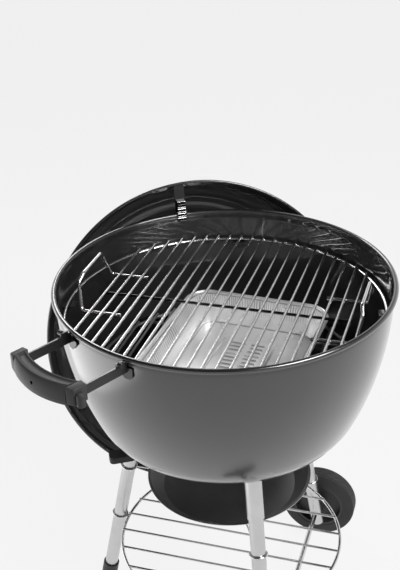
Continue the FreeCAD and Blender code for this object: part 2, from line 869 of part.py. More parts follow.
def make_cooking_grate():
    ring = torus(
        "CookingRing", "Sizes.cooking_ring_radius", "Sizes.cooking_ring_wire",
        RIM * at(z=-size("cooking_ring_drop")),
    )
    keep("cooking_grate_ring", ring)
    parallel_rods(
        "cooking_grate_rods", int(size("cooking_rod_count")), "Sizes.cooking_rod_pitch",
        "Sizes.cooking_rod_radius", "Worked.cooking_rod_drop",
        "Sizes.cooking_ring_radius", "Sizes.cooking_rod_overhang",
    )
    cross = cylinder(
        "CrossRod", "Sizes.cross_rod_radius", "Worked.cross_rod_length",
        GRATE * at(-size("cross_rod_length") / 2, 0, -size("cross_rod_drop"), about("y", 90)),
    )
    keep("cooking_grate_cross_rod", cross)
    make_grate_handle("cooking_grate_handle_rear", 1)
    make_grate_handle("cooking_grate_handle_front", -1)


def make_charcoal_grate():
    ring = torus(
        "CharcoalRing", "Sizes.charcoal_ring_radius", "Sizes.charcoal_ring_wire",
        RIM * at(z=-size("charcoal_ring_drop")),
    )
    keep("charcoal_grate_ring", ring)
    parallel_rods(
        "charcoal_grate_rods", int(size("charcoal_rod_count")), "Sizes.charcoal_rod_pitch",
        "Sizes.charcoal_rod_radius", "Worked.charcoal_rod_drop",
        "Sizes.charcoal_ring_radius", "Sizes.charcoal_rod_overhang",
    )
    offset = "(Sizes.charcoal_cross_offset + Sizes.charcoal_cross_radius)"
    inside = "(Sizes.charcoal_ring_radius - Sizes.charcoal_ring_wire - Sizes.weld_gap)"
    half = f"sqrt({inside} ^ 2 - {offset} ^ 2)"
    rods = []
    for sign in (-1, 1):
        place = GRATE * at(
            -number(half), sign * size("charcoal_cross_offset"),
            -size("charcoal_cross_drop"), about("y", 90),
        )
        name = f"CharcoalCross{len(rods)}"
        rods.append(cylinder(name, "Sizes.charcoal_cross_radius", f"2 * {half}", place))
    group("charcoal_grate_cross_rods", rods)


# ---------------------------------------------------------------- drip pan


def loft(body, kind, lower, upper):
    """A ruled loft between two sketches of a body."""
    feature = body.newObject("PartDesign::" + kind, body.Name + "_" + kind)
    feature.Profile = lower
    feature.Sections = [upper]
    feature.Ruled = True
    for sketch in (lower, upper):
        sketch.Visibility = False
    return feature


def pan_section(body, inset, corner, height):
    """A rounded rectangle of the pan at a height, inset from its outer size."""
    sketch = new_sketch(body, "XY_Plane")
    sketch.setExpression(".AttachmentOffset.Base.z", height)
    half_x = f"Sizes.pan_width / 2 - ({inset})"
    half_y = f"Sizes.pan_length / 2 - ({inset})"
    rounded_rectangle(sketch, half_x, half_y, corner)
    return sketch


def make_drip_pan():
    body = new_body("drip_pan")
    sheet = "Sizes.pan_sheet"
    brim = "Sizes.pan_flange"
    foot = f"({brim} + Sizes.pan_slope)"
    top = "Sizes.pan_height"
    corner = "Sizes.pan_corner"
    lower = pan_section(body, foot, f"{corner} - Sizes.pan_slope / 2", "0")
    upper = pan_section(body, brim, f"{corner} - {brim}", top)
    loft(body, "AdditiveLoft", lower, upper)
    brim_sketch = pan_section(body, "0", corner, f"{top} - 2 * Sizes.pan_hem")
    pad(body, brim_sketch, "2 * Sizes.pan_hem")
    lower = pan_section(
        body, f"{foot} + {sheet}", f"{corner} - Sizes.pan_slope / 2 - {sheet}", sheet
    )
    upper = pan_section(body, f"{brim} + {sheet}", f"{corner} - {brim} - {sheet}", top)
    doc.recompute()
    volume = body.Shape.Volume
    loft(body, "SubtractiveLoft", lower, upper)
    doc.recompute()
    if body.Shape.Volume > volume / 4:
        raise RuntimeError("the drip pan is not hollow")
    floor_drop = size("charcoal_top_drop") - size("pan_seat_gap")
    turn = about("z", size("pan_turn"))
    place = at(size("pan_offset_x"), size("pan_offset_y"), -floor_drop, turn)
    keep("drip_pan", body, TOP * place)


# ---------------------------------------------------------------- sweep and its lever


def base_depth_inside():
    """How far the bowl's inner floor lies below the rim."""
    return size("bowl_depth") - size("bowl_wall")


def make_sweep():
    """Blades that follow the bowl's base, on a shaft through it, with a lever below."""
    base = "(Worked.bowl_base_radius - Sizes.bowl_wall - Sizes.blade_gap)"
    reach = "(Sizes.vent_outer_radius + Sizes.blade_edge)"
    bore = "(Sizes.shaft_radius + Sizes.shaft_clearance / 2)"
    centre = "(Worked.bowl_base_radius - Sizes.bowl_depth)"
    thin = f"({base} - Sizes.blade_thickness)"
    corners = [
        (bore, f"{centre} - sqrt({base} ^ 2 - {bore} ^ 2)"),
        (reach, f"{centre} - sqrt({base} ^ 2 - {reach} ^ 2)"),
        (reach, f"{centre} - sqrt({thin} ^ 2 - {reach} ^ 2)"),
        (bore, f"{centre} - sqrt({thin} ^ 2 - {bore} ^ 2)"),
    ]
    body = new_body("sweep_blades")
    sketch = new_sketch(body)
    outline(sketch, corners, {0: (base, 1), 2: (thin, -1)})
    revolve(body, sketch)
    gaps = new_sketch(body, "XY_Plane")
    half = "(60 - Sizes.blade_half_angle)"
    outer = "(Sizes.vent_outer_radius + 2 * Sizes.blade_edge)"
    outline(
        gaps,
        [
            polar("Sizes.blade_hub_radius", f"-{half}"),
            polar(outer, f"-{half}"),
            polar(outer, half),
            polar("Sizes.blade_hub_radius", half),
        ],
        {1: (outer, 1), 3: ("Sizes.blade_hub_radius", -1)},
    )
    around(body, cut_through(body, gaps), gaps, 3)
    keep("sweep_blades", body, RIM * at(turn=about("z", -30)))

    lever_top = size("bowl_depth") + size("lever_drop")
    shaft = new_body("sweep_shaft")
    sketch = new_sketch(shaft)
    lip = (
        "(Sizes.bowl_depth - Sizes.bowl_wall - Sizes.blade_gap - Sizes.blade_thickness"
        " - Sizes.seat_gap)"
    )
    tail = "(Sizes.bowl_depth + Sizes.lever_drop + Sizes.lever_thickness + Sizes.seat_gap)"
    outline(
        sketch,
        [
            ("0", f"-{tail} - Sizes.shaft_head_height"),
            ("Sizes.shaft_head_radius", f"-{tail} - Sizes.shaft_head_height"),
            ("Sizes.shaft_head_radius", f"-{tail}"),
            ("Sizes.shaft_radius", f"-{tail}"),
            ("Sizes.shaft_radius", f"-{lip}"),
            ("Sizes.shaft_head_radius", f"-{lip}"),
            ("Sizes.shaft_head_radius", f"-{lip} + Sizes.shaft_head_height"),
            ("0", f"-{lip} + Sizes.shaft_head_height"),
        ],
    )
    revolve(shaft, sketch)
    keep("sweep_shaft", shaft, RIM)

    lever = new_body("sweep_lever")
    sketch = new_sketch(lever, "XY_Plane")
    half = "Sizes.lever_width / 2"
    outline(
        sketch,
        [
            (half, f"-{half}"),
            ("Sizes.lever_reach", f"-{half}"),
            ("Sizes.lever_reach", half),
            (half, half),
            (f"-{half}", half),
            (f"-{half}", f"-{half}"),
        ],
    )
    circle(sketch, "0", "0", bore)
    pad(lever, sketch, "Sizes.lever_thickness")
    drop = lever_top + size("lever_thickness")
    turn = about("z", -60)
    keep("sweep_lever", lever, RIM * at(z=-drop, turn=turn))

    grip = new_body("sweep_lever_grip")
    sketch = new_sketch(grip, "XY_Plane")
    middle = "(Sizes.lever_reach + Sizes.lever_grip_end - Sizes.lever_grip_length / 2)"
    rounded_rectangle(
        sketch, "Sizes.lever_grip_length / 2", "Sizes.lever_grip_width / 2",
        "Sizes.lever_grip_round", middle,
    )
    feature = pad(grip, sketch, "Sizes.lever_grip_height")
    feature.Midplane = True
    slot = box(
        "LeverSlot", "Sizes.lever_reach + Sizes.slot_clearance",
        "Sizes.lever_width + 2 * Sizes.slot_clearance",
        "Sizes.lever_thickness + 2 * Sizes.slot_clearance",
        at(0, -size("lever_width") / 2 - size("slot_clearance"),
           -size("lever_thickness") / 2 - size("slot_clearance")),
    )
    hollow = cut("LeverGrip", grip, slot)
    keep("sweep_lever_grip", hollow, RIM * at(z=-drop + size("lever_thickness") / 2, turn=turn))


# ---------------------------------------------------------------- side handle


def handle_plate(label, sign):
    """A sheet plate on the wall, its inner side slanted, standing at an arm's root."""
    top = "Sizes.plate_top_drop"
    bottom = f"({top} + Sizes.plate_height)"
    outer = "Sizes.plate_outer"
    inner = "Sizes.plate_inner"
    corners = [
        (inner, f"-{top}"),
        (inner, f"-{top} - Sizes.plate_step"),
        (f"{inner} - Sizes.plate_slant", f"-{bottom}"),
        (f"Sizes.plate_corner - {outer}", f"-{bottom}"),
        (f"-{outer}", f"Sizes.plate_corner - {bottom}"),
        (f"-{outer}", f"-{top}"),
    ]
    plate = new_body(label + "_plate")
    sketch = new_sketch(plate)
    mirrored = [(f"{-sign} * ({x})", y) for x, y in corners]
    outline(sketch, mirrored, {3: ("Sizes.plate_corner", sign)})
    pad(plate, sketch, "Sizes.plate_thickness", reverse=True)
    return plate


def make_handle_side(label, sign):
    """One bracket with its flat arm, its stud and the grip's end cap."""
    half = size("arm_half_spacing")
    face = size("bowl_wall_radius") + size("plate_gap")
    plate = handle_plate(label, sign)
    angle = math.degrees(math.asin(half / face))
    plate.Placement = HANDLE * at(turn=about("z", -sign * angle)) * at(y=face)

    root = math.sqrt(face ** 2 - half ** 2) + size("plate_thickness") / 2
    root_text = (
        "(sqrt((Sizes.bowl_wall_radius + Sizes.plate_gap) ^ 2 - Sizes.arm_half_spacing ^ 2)"
        " + Sizes.plate_thickness / 2)"
    )
    length = f"(Worked.arm_end_reach - {root_text})"
    left = sign * half - size("arm_thickness") / 2
    bottom = -size("arm_top_drop") - size("arm_height")
    arm = box(
        label + "_arm", "Sizes.arm_thickness", length, "Sizes.arm_height",
        HANDLE * at(left, root, bottom),
    )
    ear_start = size("bowl_bead_centre") + size("bowl_bead_radius") + size("plate_gap")
    ear_start = math.sqrt(ear_start ** 2 - (half - size("arm_thickness") / 2) ** 2)
    ear = box(
        label + "_ear", "Sizes.arm_thickness", "Sizes.ear_length",
        "Sizes.arm_height / 2 + Sizes.ear_rise",
        HANDLE * at(left, ear_start, bottom + size("arm_height") / 2),
    )
    bracket = fuse(label + "_bracket", plate, fuse(label + "_arm_ear", arm, ear))
    keep(f"side_handle_bracket_{label}", bracket)

    gap = size("slot_clearance")
    slot = box(
        label + "_slot", "Sizes.arm_thickness + 2 * Sizes.slot_clearance",
        f"{length} + Sizes.slot_clearance", "Sizes.arm_height + 2 * Sizes.slot_clearance",
        HANDLE * at(left - gap, root, bottom - gap),
    )
    cap = new_body(label + "_cap")
    sketch = new_sketch(cap, "XY_Plane")
    inner = "Sizes.grip_half_length + Sizes.cap_gap"
    outer = f"{inner} + Sizes.cap_length"
    corners = [
        (inner, "Worked.cap_inner_reach"),
        (outer, "Worked.cap_inner_reach"),
        (outer, "Sizes.grip_outer_reach - Sizes.cap_chamfer"),
        (f"{outer} - Sizes.cap_chamfer", "Sizes.grip_outer_reach"),
        (inner, "Sizes.grip_outer_reach"),
    ]
    outline(sketch, [(f"{sign} * ({x})", y) for x, y in corners])
    pad(cap, sketch, "Sizes.cap_height")
    top = size("grip_top_rise") - size("cap_drop")
    cap.Placement = HANDLE * at(z=top - size("cap_height"))
    post = cylinder(
        label + "_post", "Sizes.post_radius", "Sizes.post_height",
        HANDLE * at(sign * size("post_offset"), size("post_reach"),
                    -size("post_top_drop") - size("post_height")),
    )
    whole = fuse(label + "_cap_post", cap, post)
    keep(f"side_handle_cap_{label}", cut(label + "_cap_cut", whole, slot))

    stud_x = half + size("arm_thickness") / 2 + size("seat_gap")
    return cylinder(
        label + "_stud", "Sizes.stud_radius", "Sizes.stud_length",
        HANDLE * at(sign * stud_x, size("stud_reach"), -size("stud_drop"),
                    about("y", 90 * sign)),
    )


def round_arcs(body, base, radius):
    """Round the edges of a pad that lie along its outline's arcs."""
    doc.recompute()
    names = []
    for index, edge in enumerate(base.Shape.Edges, start=1):
        if edge.Curve.TypeId == "Part::GeomCircle":
            names.append(f"Edge{index}")
    feature = body.newObject("PartDesign::Fillet", body.Name + "_fillet")
    feature.Base = (base, names)
    bind(feature, Radius=radius)
    return feature


def make_side_handle():
    studs = [make_handle_side("rear", -1), make_handle_side("front", 1)]
    group("side_handle_studs", studs)
    body = new_body("grip")
    sketch = new_sketch(body, "XY_Plane")
    half = "Sizes.grip_half_length"

    def bow_radius(bow):
        return f"({half} ^ 2 + {bow} ^ 2) / (2 * {bow})"

    outline(
        sketch,
        [
            (half, "Worked.grip_inner_reach"),
            (half, "Sizes.grip_outer_reach"),
            (f"-{half}", "Sizes.grip_outer_reach"),
            (f"-{half}", "Worked.grip_inner_reach"),
        ],
        {
            1: (bow_radius("Sizes.grip_outer_bow"), 1),
            3: (bow_radius("Sizes.grip_inner_bow"), -1),
        },
    )
    base = pad(body, sketch, "Sizes.grip_height")
    round_arcs(body, base, "Sizes.grip_round")
    body.Placement = HANDLE * at(z=size("grip_top_rise") - size("grip_height"))
    face = size("grip_outer_reach") + size("grip_outer_bow")
    hole = cylinder(
        "GripHole", "Sizes.grip_hole_radius", "2 * Sizes.grip_hole_depth",
        HANDLE * at(0, face - size("grip_hole_depth"), -size("grip_hole_drop"),
                    about("x", -90)),
    )
    keep("side_handle_grip", cut("GripCut", body, hole))


# ---------------------------------------------------------------- legs and wheels


def make_leg(name, azimuth, bottom_height, envelope):
    """A straight tube leg in its socket, cut to the bowl's surface."""
    frame = leg_frame(azimuth)
    bottom = along_leg(bottom_height)
    top = along_leg(size("leg_top_height"))
    length = f"(Worked.leg_top_height - {bottom_height}) / cos(Worked.leg_lean)"
    outer = cylinder(name + "_outer", "Sizes.leg_radius", length, frame * at(z=bottom))
    inner = cylinder(
        name + "_inner", "Sizes.leg_radius - Sizes.leg_wall", f"{length} + 2",
        frame * at(z=bottom - 1),
    )
    leg = cut(name + "_tube", outer, inner)
    if name != "front":
        drill = cylinder(
            name + "_drill", "Sizes.axle_radius + Sizes.axle_clearance", "8 * Sizes.leg_radius",
            FLOOR * axle_line() * at(turn=about("z", 0 if name == "right" else 180))
            * at(size("leg_axle_x") - 4 * size("leg_radius"), 0, 0, about("y", 90)),
        )
        leg = cut(name + "_drilled", leg, drill)
    keep(f"leg_{name}", leg)

    reach = "(Sizes.leg_radius + Sizes.socket_clearance)"
    height = "1.6 * Sizes.socket_length"
    start = top - size("socket_length")
    shell = cylinder(name + "_shell", f"{reach} + Sizes.socket_wall", height, frame * at(z=start))
    bore = cylinder(name + "_bore", reach, "2 * Sizes.socket_length", frame * at(z=start - 1))
    return cut(name + "_socket", cut(name + "_sleeve", shell, bore), envelope)


def axle_line():
    """The axle's middle, above the floor on the wheel side."""
    return at(0, size("leg_axle_y"), size("wheel_radius"))


def make_foot():
    frame = leg_frame(LEG_AZIMUTHS["front"])
    reach = "(Sizes.leg_radius + Sizes.socket_clearance)"
    shell = cylinder(
        "FootShell", f"{reach} + Sizes.foot_wall", "Sizes.foot_length + Sizes.foot_sole",
        frame * at(z=-size("foot_sole"))
    )
    bore = cylinder(
        "FootBore", reach, "Sizes.foot_length", frame * at(z=along_leg(size("foot_sole")))
    )
    floor = box(
        "FootFloor", "8 * Sizes.leg_radius", "8 * Sizes.leg_radius", "2 * Sizes.leg_radius",
        leg_floor_corner(),
    )
    keep("foot_cap", cut("FootCut", cut("FootHollow", shell, bore), floor))


def leg_floor_corner():
    """The corner of a block whose top is the floor, under the front foot."""
    reach = 4 * size("leg_radius")
    return FLOOR * at(-reach, -size("leg_foot_radius") - reach, -reach / 2)


def make_legs():
    envelope = bowl_envelope()
    tail = size("wheel_radius") - size("leg_tail")
    bottoms = {"front": size("foot_sole") + 1, "right": tail, "left": tail}
    sockets = []
    for name, azimuth in LEG_AZIMUTHS.items():
        sockets.append(make_leg(name, azimuth, bottoms[name], envelope))
    group("leg_sockets", sockets)
    make_foot()
    plugs = []
    for name in ("right", "left"):
        body = new_body("plug_" + name)
        sketch = new_sketch(body)
        stem = "(Sizes.leg_radius - Sizes.leg_wall - Sizes.seat_gap)"
        outline(
            sketch,
            [
                ("0", "-Sizes.plug_flange"),
                ("Sizes.leg_radius", "-Sizes.plug_flange"),
                ("Sizes.leg_radius", "-Sizes.seat_gap"),
                (stem, "-Sizes.seat_gap"),
                (stem, "Sizes.plug_depth"),
                ("0", "Sizes.plug_depth"),
            ],
        )
        revolve(body, sketch)
        body.Placement = leg_frame(LEG_AZIMUTHS[name]) * at(z=along_leg(tail))
        plugs.append(body)
    group("leg_plugs", plugs)


def make_wheels():
    """Axle, tyres, wheels and axle caps; each wheel turns on the axle."""
    half_axle = (
        "(Worked.wheel_inner_x + Sizes.wheel_boss_length + Sizes.axle_cap_gap"
        " + Sizes.axle_cap_bore_depth)"
    )
    line = FLOOR * axle_line()
    axle = cylinder(
        "Axle", "Sizes.axle_radius", f"2 * {half_axle}",
        line * at(-number(half_axle), 0, 0, about("y", 90)),
    )
    keep("axle", axle)
    for name, sign in (("right", 1), ("left", -1)):
        turn = about("y", 90 * sign)
        inner = sign * size("wheel_inner_x")
        middle = inner + sign * size("wheel_boss_length") / 2
        wheel = new_body("wheel_" + name)
        sketch = new_sketch(wheel)
        bore = "(Sizes.axle_radius + Sizes.wheel_bore_clearance)"
        boss = "Sizes.wheel_boss_radius"
        rim_outer = "(Sizes.wheel_radius - Sizes.tyre_depth - Sizes.tyre_gap)"
        rim_inner = f"({rim_outer} - Sizes.wheel_rim_depth)"
        ends = "Sizes.wheel_boss_length / 2"
        web = "Sizes.wheel_web / 2"
        rim = "(Sizes.tyre_width / 2 - 1)"
        outline(
            sketch,
            [
                (bore, f"-{ends}"), (boss, f"-{ends}"), (boss, f"-{web}"),
                (rim_inner, f"-{web}"), (rim_inner, f"-{rim}"), (rim_outer, f"-{rim}"),
                (rim_outer, rim), (rim_inner, rim), (rim_inner, web),
                (boss, web), (boss, ends), (bore, ends),
            ],
        )
        revolve(wheel, sketch)
        keep(f"wheel_{name}", wheel, line * at(middle, 0, 0, turn))

        tyre = new_body("tyre_" + name)
        sketch = new_sketch(tyre)
        side = "Sizes.tyre_width / 2"
        tread = "Sizes.wheel_radius"
        inside = "(Sizes.wheel_radius - Sizes.tyre_depth)"
        outline(
            sketch,
            [
                (inside, f"-{side}"), (f"{tread} - Sizes.tyre_round", f"-{side}"),
                (tread, f"-({side} - Sizes.tyre_round)"), (tread, f"{side} - Sizes.tyre_round"),
                (f"{tread} - Sizes.tyre_round", side), (inside, side),
            ],
            {1: ("Sizes.tyre_round", 1), 3: ("Sizes.tyre_round", 1)},
        )
        revolve(tyre, sketch)
        keep(f"tyre_{name}", tyre, line * at(middle, 0, 0, turn))

        cap = new_body("axle_cap_" + name)
        sketch = new_sketch(cap)
        bore = "(Sizes.axle_radius + Sizes.seat_gap / 2)"
        depth = "Sizes.axle_cap_bore_depth"
        outline(
            sketch,
            [
                (bore, "0"), ("Sizes.axle_cap_radius", "0"),
                ("Sizes.axle_cap_radius", "Sizes.axle_cap_length - Sizes.axle_cap_chamfer"),
                ("Sizes.axle_cap_radius - Sizes.axle_cap_chamfer", "Sizes.axle_cap_length"),
                ("0", "Sizes.axle_cap_length"), ("0", f"{depth} + Sizes.seat_gap"),
                (bore, f"{depth} + Sizes.seat_gap"),
            ],
        )
        revolve(cap, sketch)
        outer = inner + sign * (size("wheel_boss_length") + size("axle_cap_gap"))
        keep(f"axle_cap_{name}", cap, line * at(outer, 0, 0, turn))


# ---------------------------------------------------------------- bottom rack and ash dish


def leg_eye(name, azimuth, height, wire):
    """A closed wire eye around a leg at a height."""
    reach = f"Sizes.leg_radius + Sizes.clip_gap + {wire}"
    return torus(name, reach, wire, leg_frame(azimuth) * at(z=along_leg(height)))


def make_rack():
    height = size("rack_height")
    ring = torus(
        "RackRing", "Worked.rack_ring_radius", "Sizes.rack_wire", FLOOR * at(z=height)
    )
    keep("bottom_rack_ring", ring)
    count = int(size("rack_rod_count"))
    rods = []
    lift = size("rack_wire") + size("rack_rod_radius") + size("weld_gap")
    for index in range(count):
        step = index - (count - 1) / 2
        half = f"(sqrt(Worked.rack_ring_radius ^ 2 - ({step} * Sizes.rack_rod_pitch) ^ 2))"
        place = FLOOR * at(
            step * size("rack_rod_pitch"), -number(half), height + lift, about("x", -90)
        )
        rods.append(cylinder(f"RackRod{index}", "Sizes.rack_rod_radius", f"2 * {half}", place))
    group("bottom_rack_rods", rods)
    eyes = []
    for name, azimuth in LEG_AZIMUTHS.items():
        eyes.append(
            leg_eye("RackEye_" + name, azimuth, size("clip_height"), "Sizes.clip_wire")
        )
    group("bottom_rack_clips", eyes)


def make_ash_dish():
    body = new_body("ash_dish")
    sketch = new_sketch(body)
    wall = "Sizes.dish_wall"
    outline(
        sketch,
        [
            ("0", "0"), ("Sizes.dish_floor_radius", "0"),
            ("Sizes.dish_radius - Sizes.dish_lip", "Sizes.dish_height - Sizes.dish_wall"),
            ("Sizes.dish_radius", "Sizes.dish_height - Sizes.dish_wall"),
            ("Sizes.dish_radius", "Sizes.dish_height"),
            (f"Sizes.dish_radius - Sizes.dish_lip - {wall}", "Sizes.dish_height"),
            (f"Sizes.dish_floor_radius - {wall} / 2", wall), ("0", wall),
        ],
    )
    revolve(body, sketch)
    keep("ash_dish", body, FLOOR * at(z=size("dish_rest_height")))
    hangers = []
    height = size("dish_rest_height") - size("seat_gap") - size("hanger_wire")
    for name, azimuth in LEG_AZIMUTHS.items():
        eye = leg_eye("HangerEye_" + name, azimuth, height, "Sizes.hanger_wire")
        eye_inner = (
            "(Sizes.leg_foot_radius - (Worked.dish_rest_height - Sizes.seat_gap"
            " - Sizes.hanger_wire) * tan(Worked.leg_lean)"
            " - (Sizes.leg_radius + Sizes.clip_gap) / cos(Worked.leg_lean))"
        )
        prong = cylinder(
            "Prong_" + name, "Sizes.hanger_wire",
            f"{eye_inner} - Sizes.hanger_wire - Sizes.hanger_inner_reach",
            FLOOR * at(turn=about("z", azimuth))
            * at(size("hanger_inner_reach"), 0, height, about("y", 90)),
        )
        hangers.append(fuse("Hanger_" + name, eye, prong))
    group("ash_dish_hangers", hangers)


# ---------------------------------------------------------------- lid


def dome_frame(offset, turn=0.0):
    """On the lid's top at an offset from its axis, with z along the dome's normal."""
    angle = math.degrees(math.asin(offset / size("lid_base_radius")))
    height = size("lid_base_radius") * math.cos(math.radians(angle))
    return (
        LID
        * at(turn=about("z", turn))
        * at(offset, 0, size("lid_sphere_height") + height, about("y", angle))
    )


def make_lid_shell():
    body = dish("lid", "lid_", 1)
    holes = new_sketch(body, "XY_Plane")
    step = FULL_TURN / size("damper_hole_count")
    for index in range(int(size("damper_hole_count"))):
        x, y = polar("Sizes.damper_hole_circle", str(index * step + step / 2))
        circle(holes, f"Sizes.damper_offset + {x}", y, "Sizes.damper_hole_radius")
    circle(holes, "Sizes.damper_offset", "0", "Sizes.rivet_radius + Sizes.rivet_hole_clearance")
    screw = "Sizes.lid_screw_radius + Sizes.lid_screw_clearance"
    for sign in (-1, 1):
        circle(holes, "0", f"{sign} * Sizes.lid_screw_offset", screw)
    cut_through(body, holes, reverse=True)
    keep("lid_shell", body, LID)


def make_damper():
    """A domed disc that turns on a rivet over the lid's vent holes."""
    outer = "(Worked.lid_base_radius + Sizes.damper_gap)"
    top = f"({outer} + Sizes.damper_sheet)"
    bore = "(Sizes.rivet_radius + Sizes.rivet_clearance)"
    edge = "Sizes.damper_radius"
    base = "Worked.lid_base_radius"
    body = new_body("lid_damper")
    sketch = new_sketch(body)
    outline(
        sketch,
        [
            (bore, f"sqrt({outer} ^ 2 - {bore} ^ 2) - {base}"),
            (edge, f"sqrt({outer} ^ 2 - {edge} ^ 2) - {base}"),
            (edge, f"sqrt({top} ^ 2 - {edge} ^ 2) - {base}"),
            (bore, f"sqrt({top} ^ 2 - {bore} ^ 2) - {base}"),
        ],
        {0: (outer, -1), 2: (top, 1)},
    )
    revolve(body, sketch)
    hole = new_sketch(body, "XY_Plane")
    step = FULL_TURN / size("damper_hole_count")
    x, y = polar("Sizes.damper_hole_circle", str(step / 2))
    circle(hole, x, y, "Sizes.damper_hole_radius")
    doc.recompute()
    pocket = body.newObject("PartDesign::Pocket", "DamperPocket")
    pocket.Profile = hole
    pocket.Type = "ThroughAll"
    pocket.Midplane = True
    around(body, pocket, hole, int(size("damper_hole_count")))
    frame = dome_frame(size("damper_offset"))
    body.Placement = frame
    rim = dome_height(size("damper_radius"), size("damper_gap"))
    tab_z = rim - dome_height(0, 0) + size("damper_sheet") * 0.4
    tab = box(
        "DamperTab", "Sizes.tab_length", "Sizes.tab_width", "Sizes.damper_sheet",
        frame * at(size("damper_radius") - size("tab_lap"), -size("tab_width") / 2, tab_z),
    )
    keep("lid_damper", fuse("DamperWithTab", body, tab))

    rivet = new_body("damper_rivet")
    sketch = new_sketch(rivet)
    head = "(Sizes.damper_gap + Sizes.damper_sheet + Sizes.seat_gap)"
    tail = "(Sizes.lid_wall + Sizes.seat_gap)"
    outline(
        sketch,
        [
            ("0", f"-{tail} - Sizes.rivet_head_height"),
            ("Sizes.rivet_head_radius", f"-{tail} - Sizes.rivet_head_height"),
            ("Sizes.rivet_head_radius", f"-{tail}"),
            ("Sizes.rivet_radius", f"-{tail}"),
            ("Sizes.rivet_radius", head),
            ("Sizes.rivet_head_radius", head),
            ("Sizes.rivet_head_radius", f"{head} + Sizes.rivet_head_height"),
            ("0", f"{head} + Sizes.rivet_head_height"),
        ],
    )
    revolve(rivet, sketch)
    keep("lid_damper_rivet", rivet, frame)


def dome_height(offset, lift):
    """Height in the lid's frame of a point a lift above the dome at an offset."""
    reach = size("lid_base_radius") + lift
    return size("lid_sphere_height") + math.sqrt(reach ** 2 - offset ** 2)


def make_lid_handle():
    """A bent steel bridge with a grip, held by two screws through the lid."""
    lift = size("lid_bridge_sheet") / 2 + size("seat_gap") + 0.1
    outer = size("lid_foot_outer")
    inner = size("lid_foot_inner")
    top = dome_height(0, lift) + size("lid_bridge_rise")
    half = [(outer, dome_height(outer, lift)), (inner, dome_height(inner, lift)), (inner, top)]
    path = half + [(-x, z) for x, z in reversed(half)]
    bridge = strip_shape(path, size("lid_bridge_sheet"), size("lid_bridge_width"))
    bridge.rotate(Vector(0, 0, 0), UPRIGHT, 90)
    screw_radius = size("lid_screw_radius") + size("lid_screw_clearance")
    rise = size("lid_bridge_rise")
    screws = []
    for name, turn in (("upper", 90), ("lower", -90)):
        frame = dome_frame(size("lid_screw_offset"), turn)
        drill = Part.makeCylinder(screw_radius, rise, Vector(0, 0, -rise / 2))
        drill.Placement = LID.inverse() * frame
        bridge = bridge.cut(drill)
        body = new_body("lid_screw_" + name)
        sketch = new_sketch(body)
        tail = "(Sizes.lid_wall + Sizes.seat_gap)"
        top_text = "(Sizes.lid_bridge_sheet + 2 * Sizes.seat_gap + 0.1)"
        outline(
            sketch,
            [
                ("0", f"-{tail} - Sizes.lid_screw_head_height"),
                ("Sizes.lid_screw_head_radius", f"-{tail} - Sizes.lid_screw_head_height"),
                ("Sizes.lid_screw_head_radius", f"-{tail}"),
                ("Sizes.lid_screw_radius", f"-{tail}"),
                ("Sizes.lid_screw_radius", top_text),
                ("Sizes.lid_screw_head_radius", top_text),
                ("Sizes.lid_screw_head_radius", f"{top_text} + Sizes.lid_screw_head_height"),
                ("0", f"{top_text} + Sizes.lid_screw_head_height"),
            ],
        )
        revolve(body, sketch)
        body.Placement = frame
        screws.append(body)
    solid_feature("lid_handle_bridge", bridge, LID)
    group("lid_handle_screws", screws)

    grip = cylinder(
        "LidGrip", "Sizes.lid_grip_radius", "2 * Sizes.lid_grip_half_length",
        LID * at(0, size("lid_grip_half_length"), top, about("x", 90)),
    )
    gap = size("slot_clearance")
    slot = box(
        "LidGripSlot", "Sizes.lid_bridge_width + 2 * Sizes.slot_clearance",
        "4 * Sizes.lid_grip_half_length",
        "Sizes.lid_bridge_sheet + 2 * Sizes.slot_clearance",
        LID * at(-size("lid_bridge_width") / 2 - gap, -2 * size("lid_grip_half_length"),
                 top - size("lid_bridge_sheet") / 2 - gap),
    )
    keep("lid_handle_grip", cut("LidGripCut", grip, slot))


def under_skirt(reach, side):
    """Height of the skirt's inner face over a point of the hook's own frame."""
    hook = TOP * at(turn=about("z", size("hook_turn")))
    axis = LID.Rotation.multVec(UPRIGHT)
    offset = hook.multVec(Vector(reach, side, 0)) - LID.Base
    along = offset.x * axis.x + offset.y * axis.y
    square = 1 - axis.z ** 2
    rest = offset.x ** 2 + offset.y ** 2 - along ** 2 - size("lid_neck_inner") ** 2
    root = math.sqrt((along * axis.z) ** 2 - square * rest)
    return (along * axis.z + root) / square - offset.z


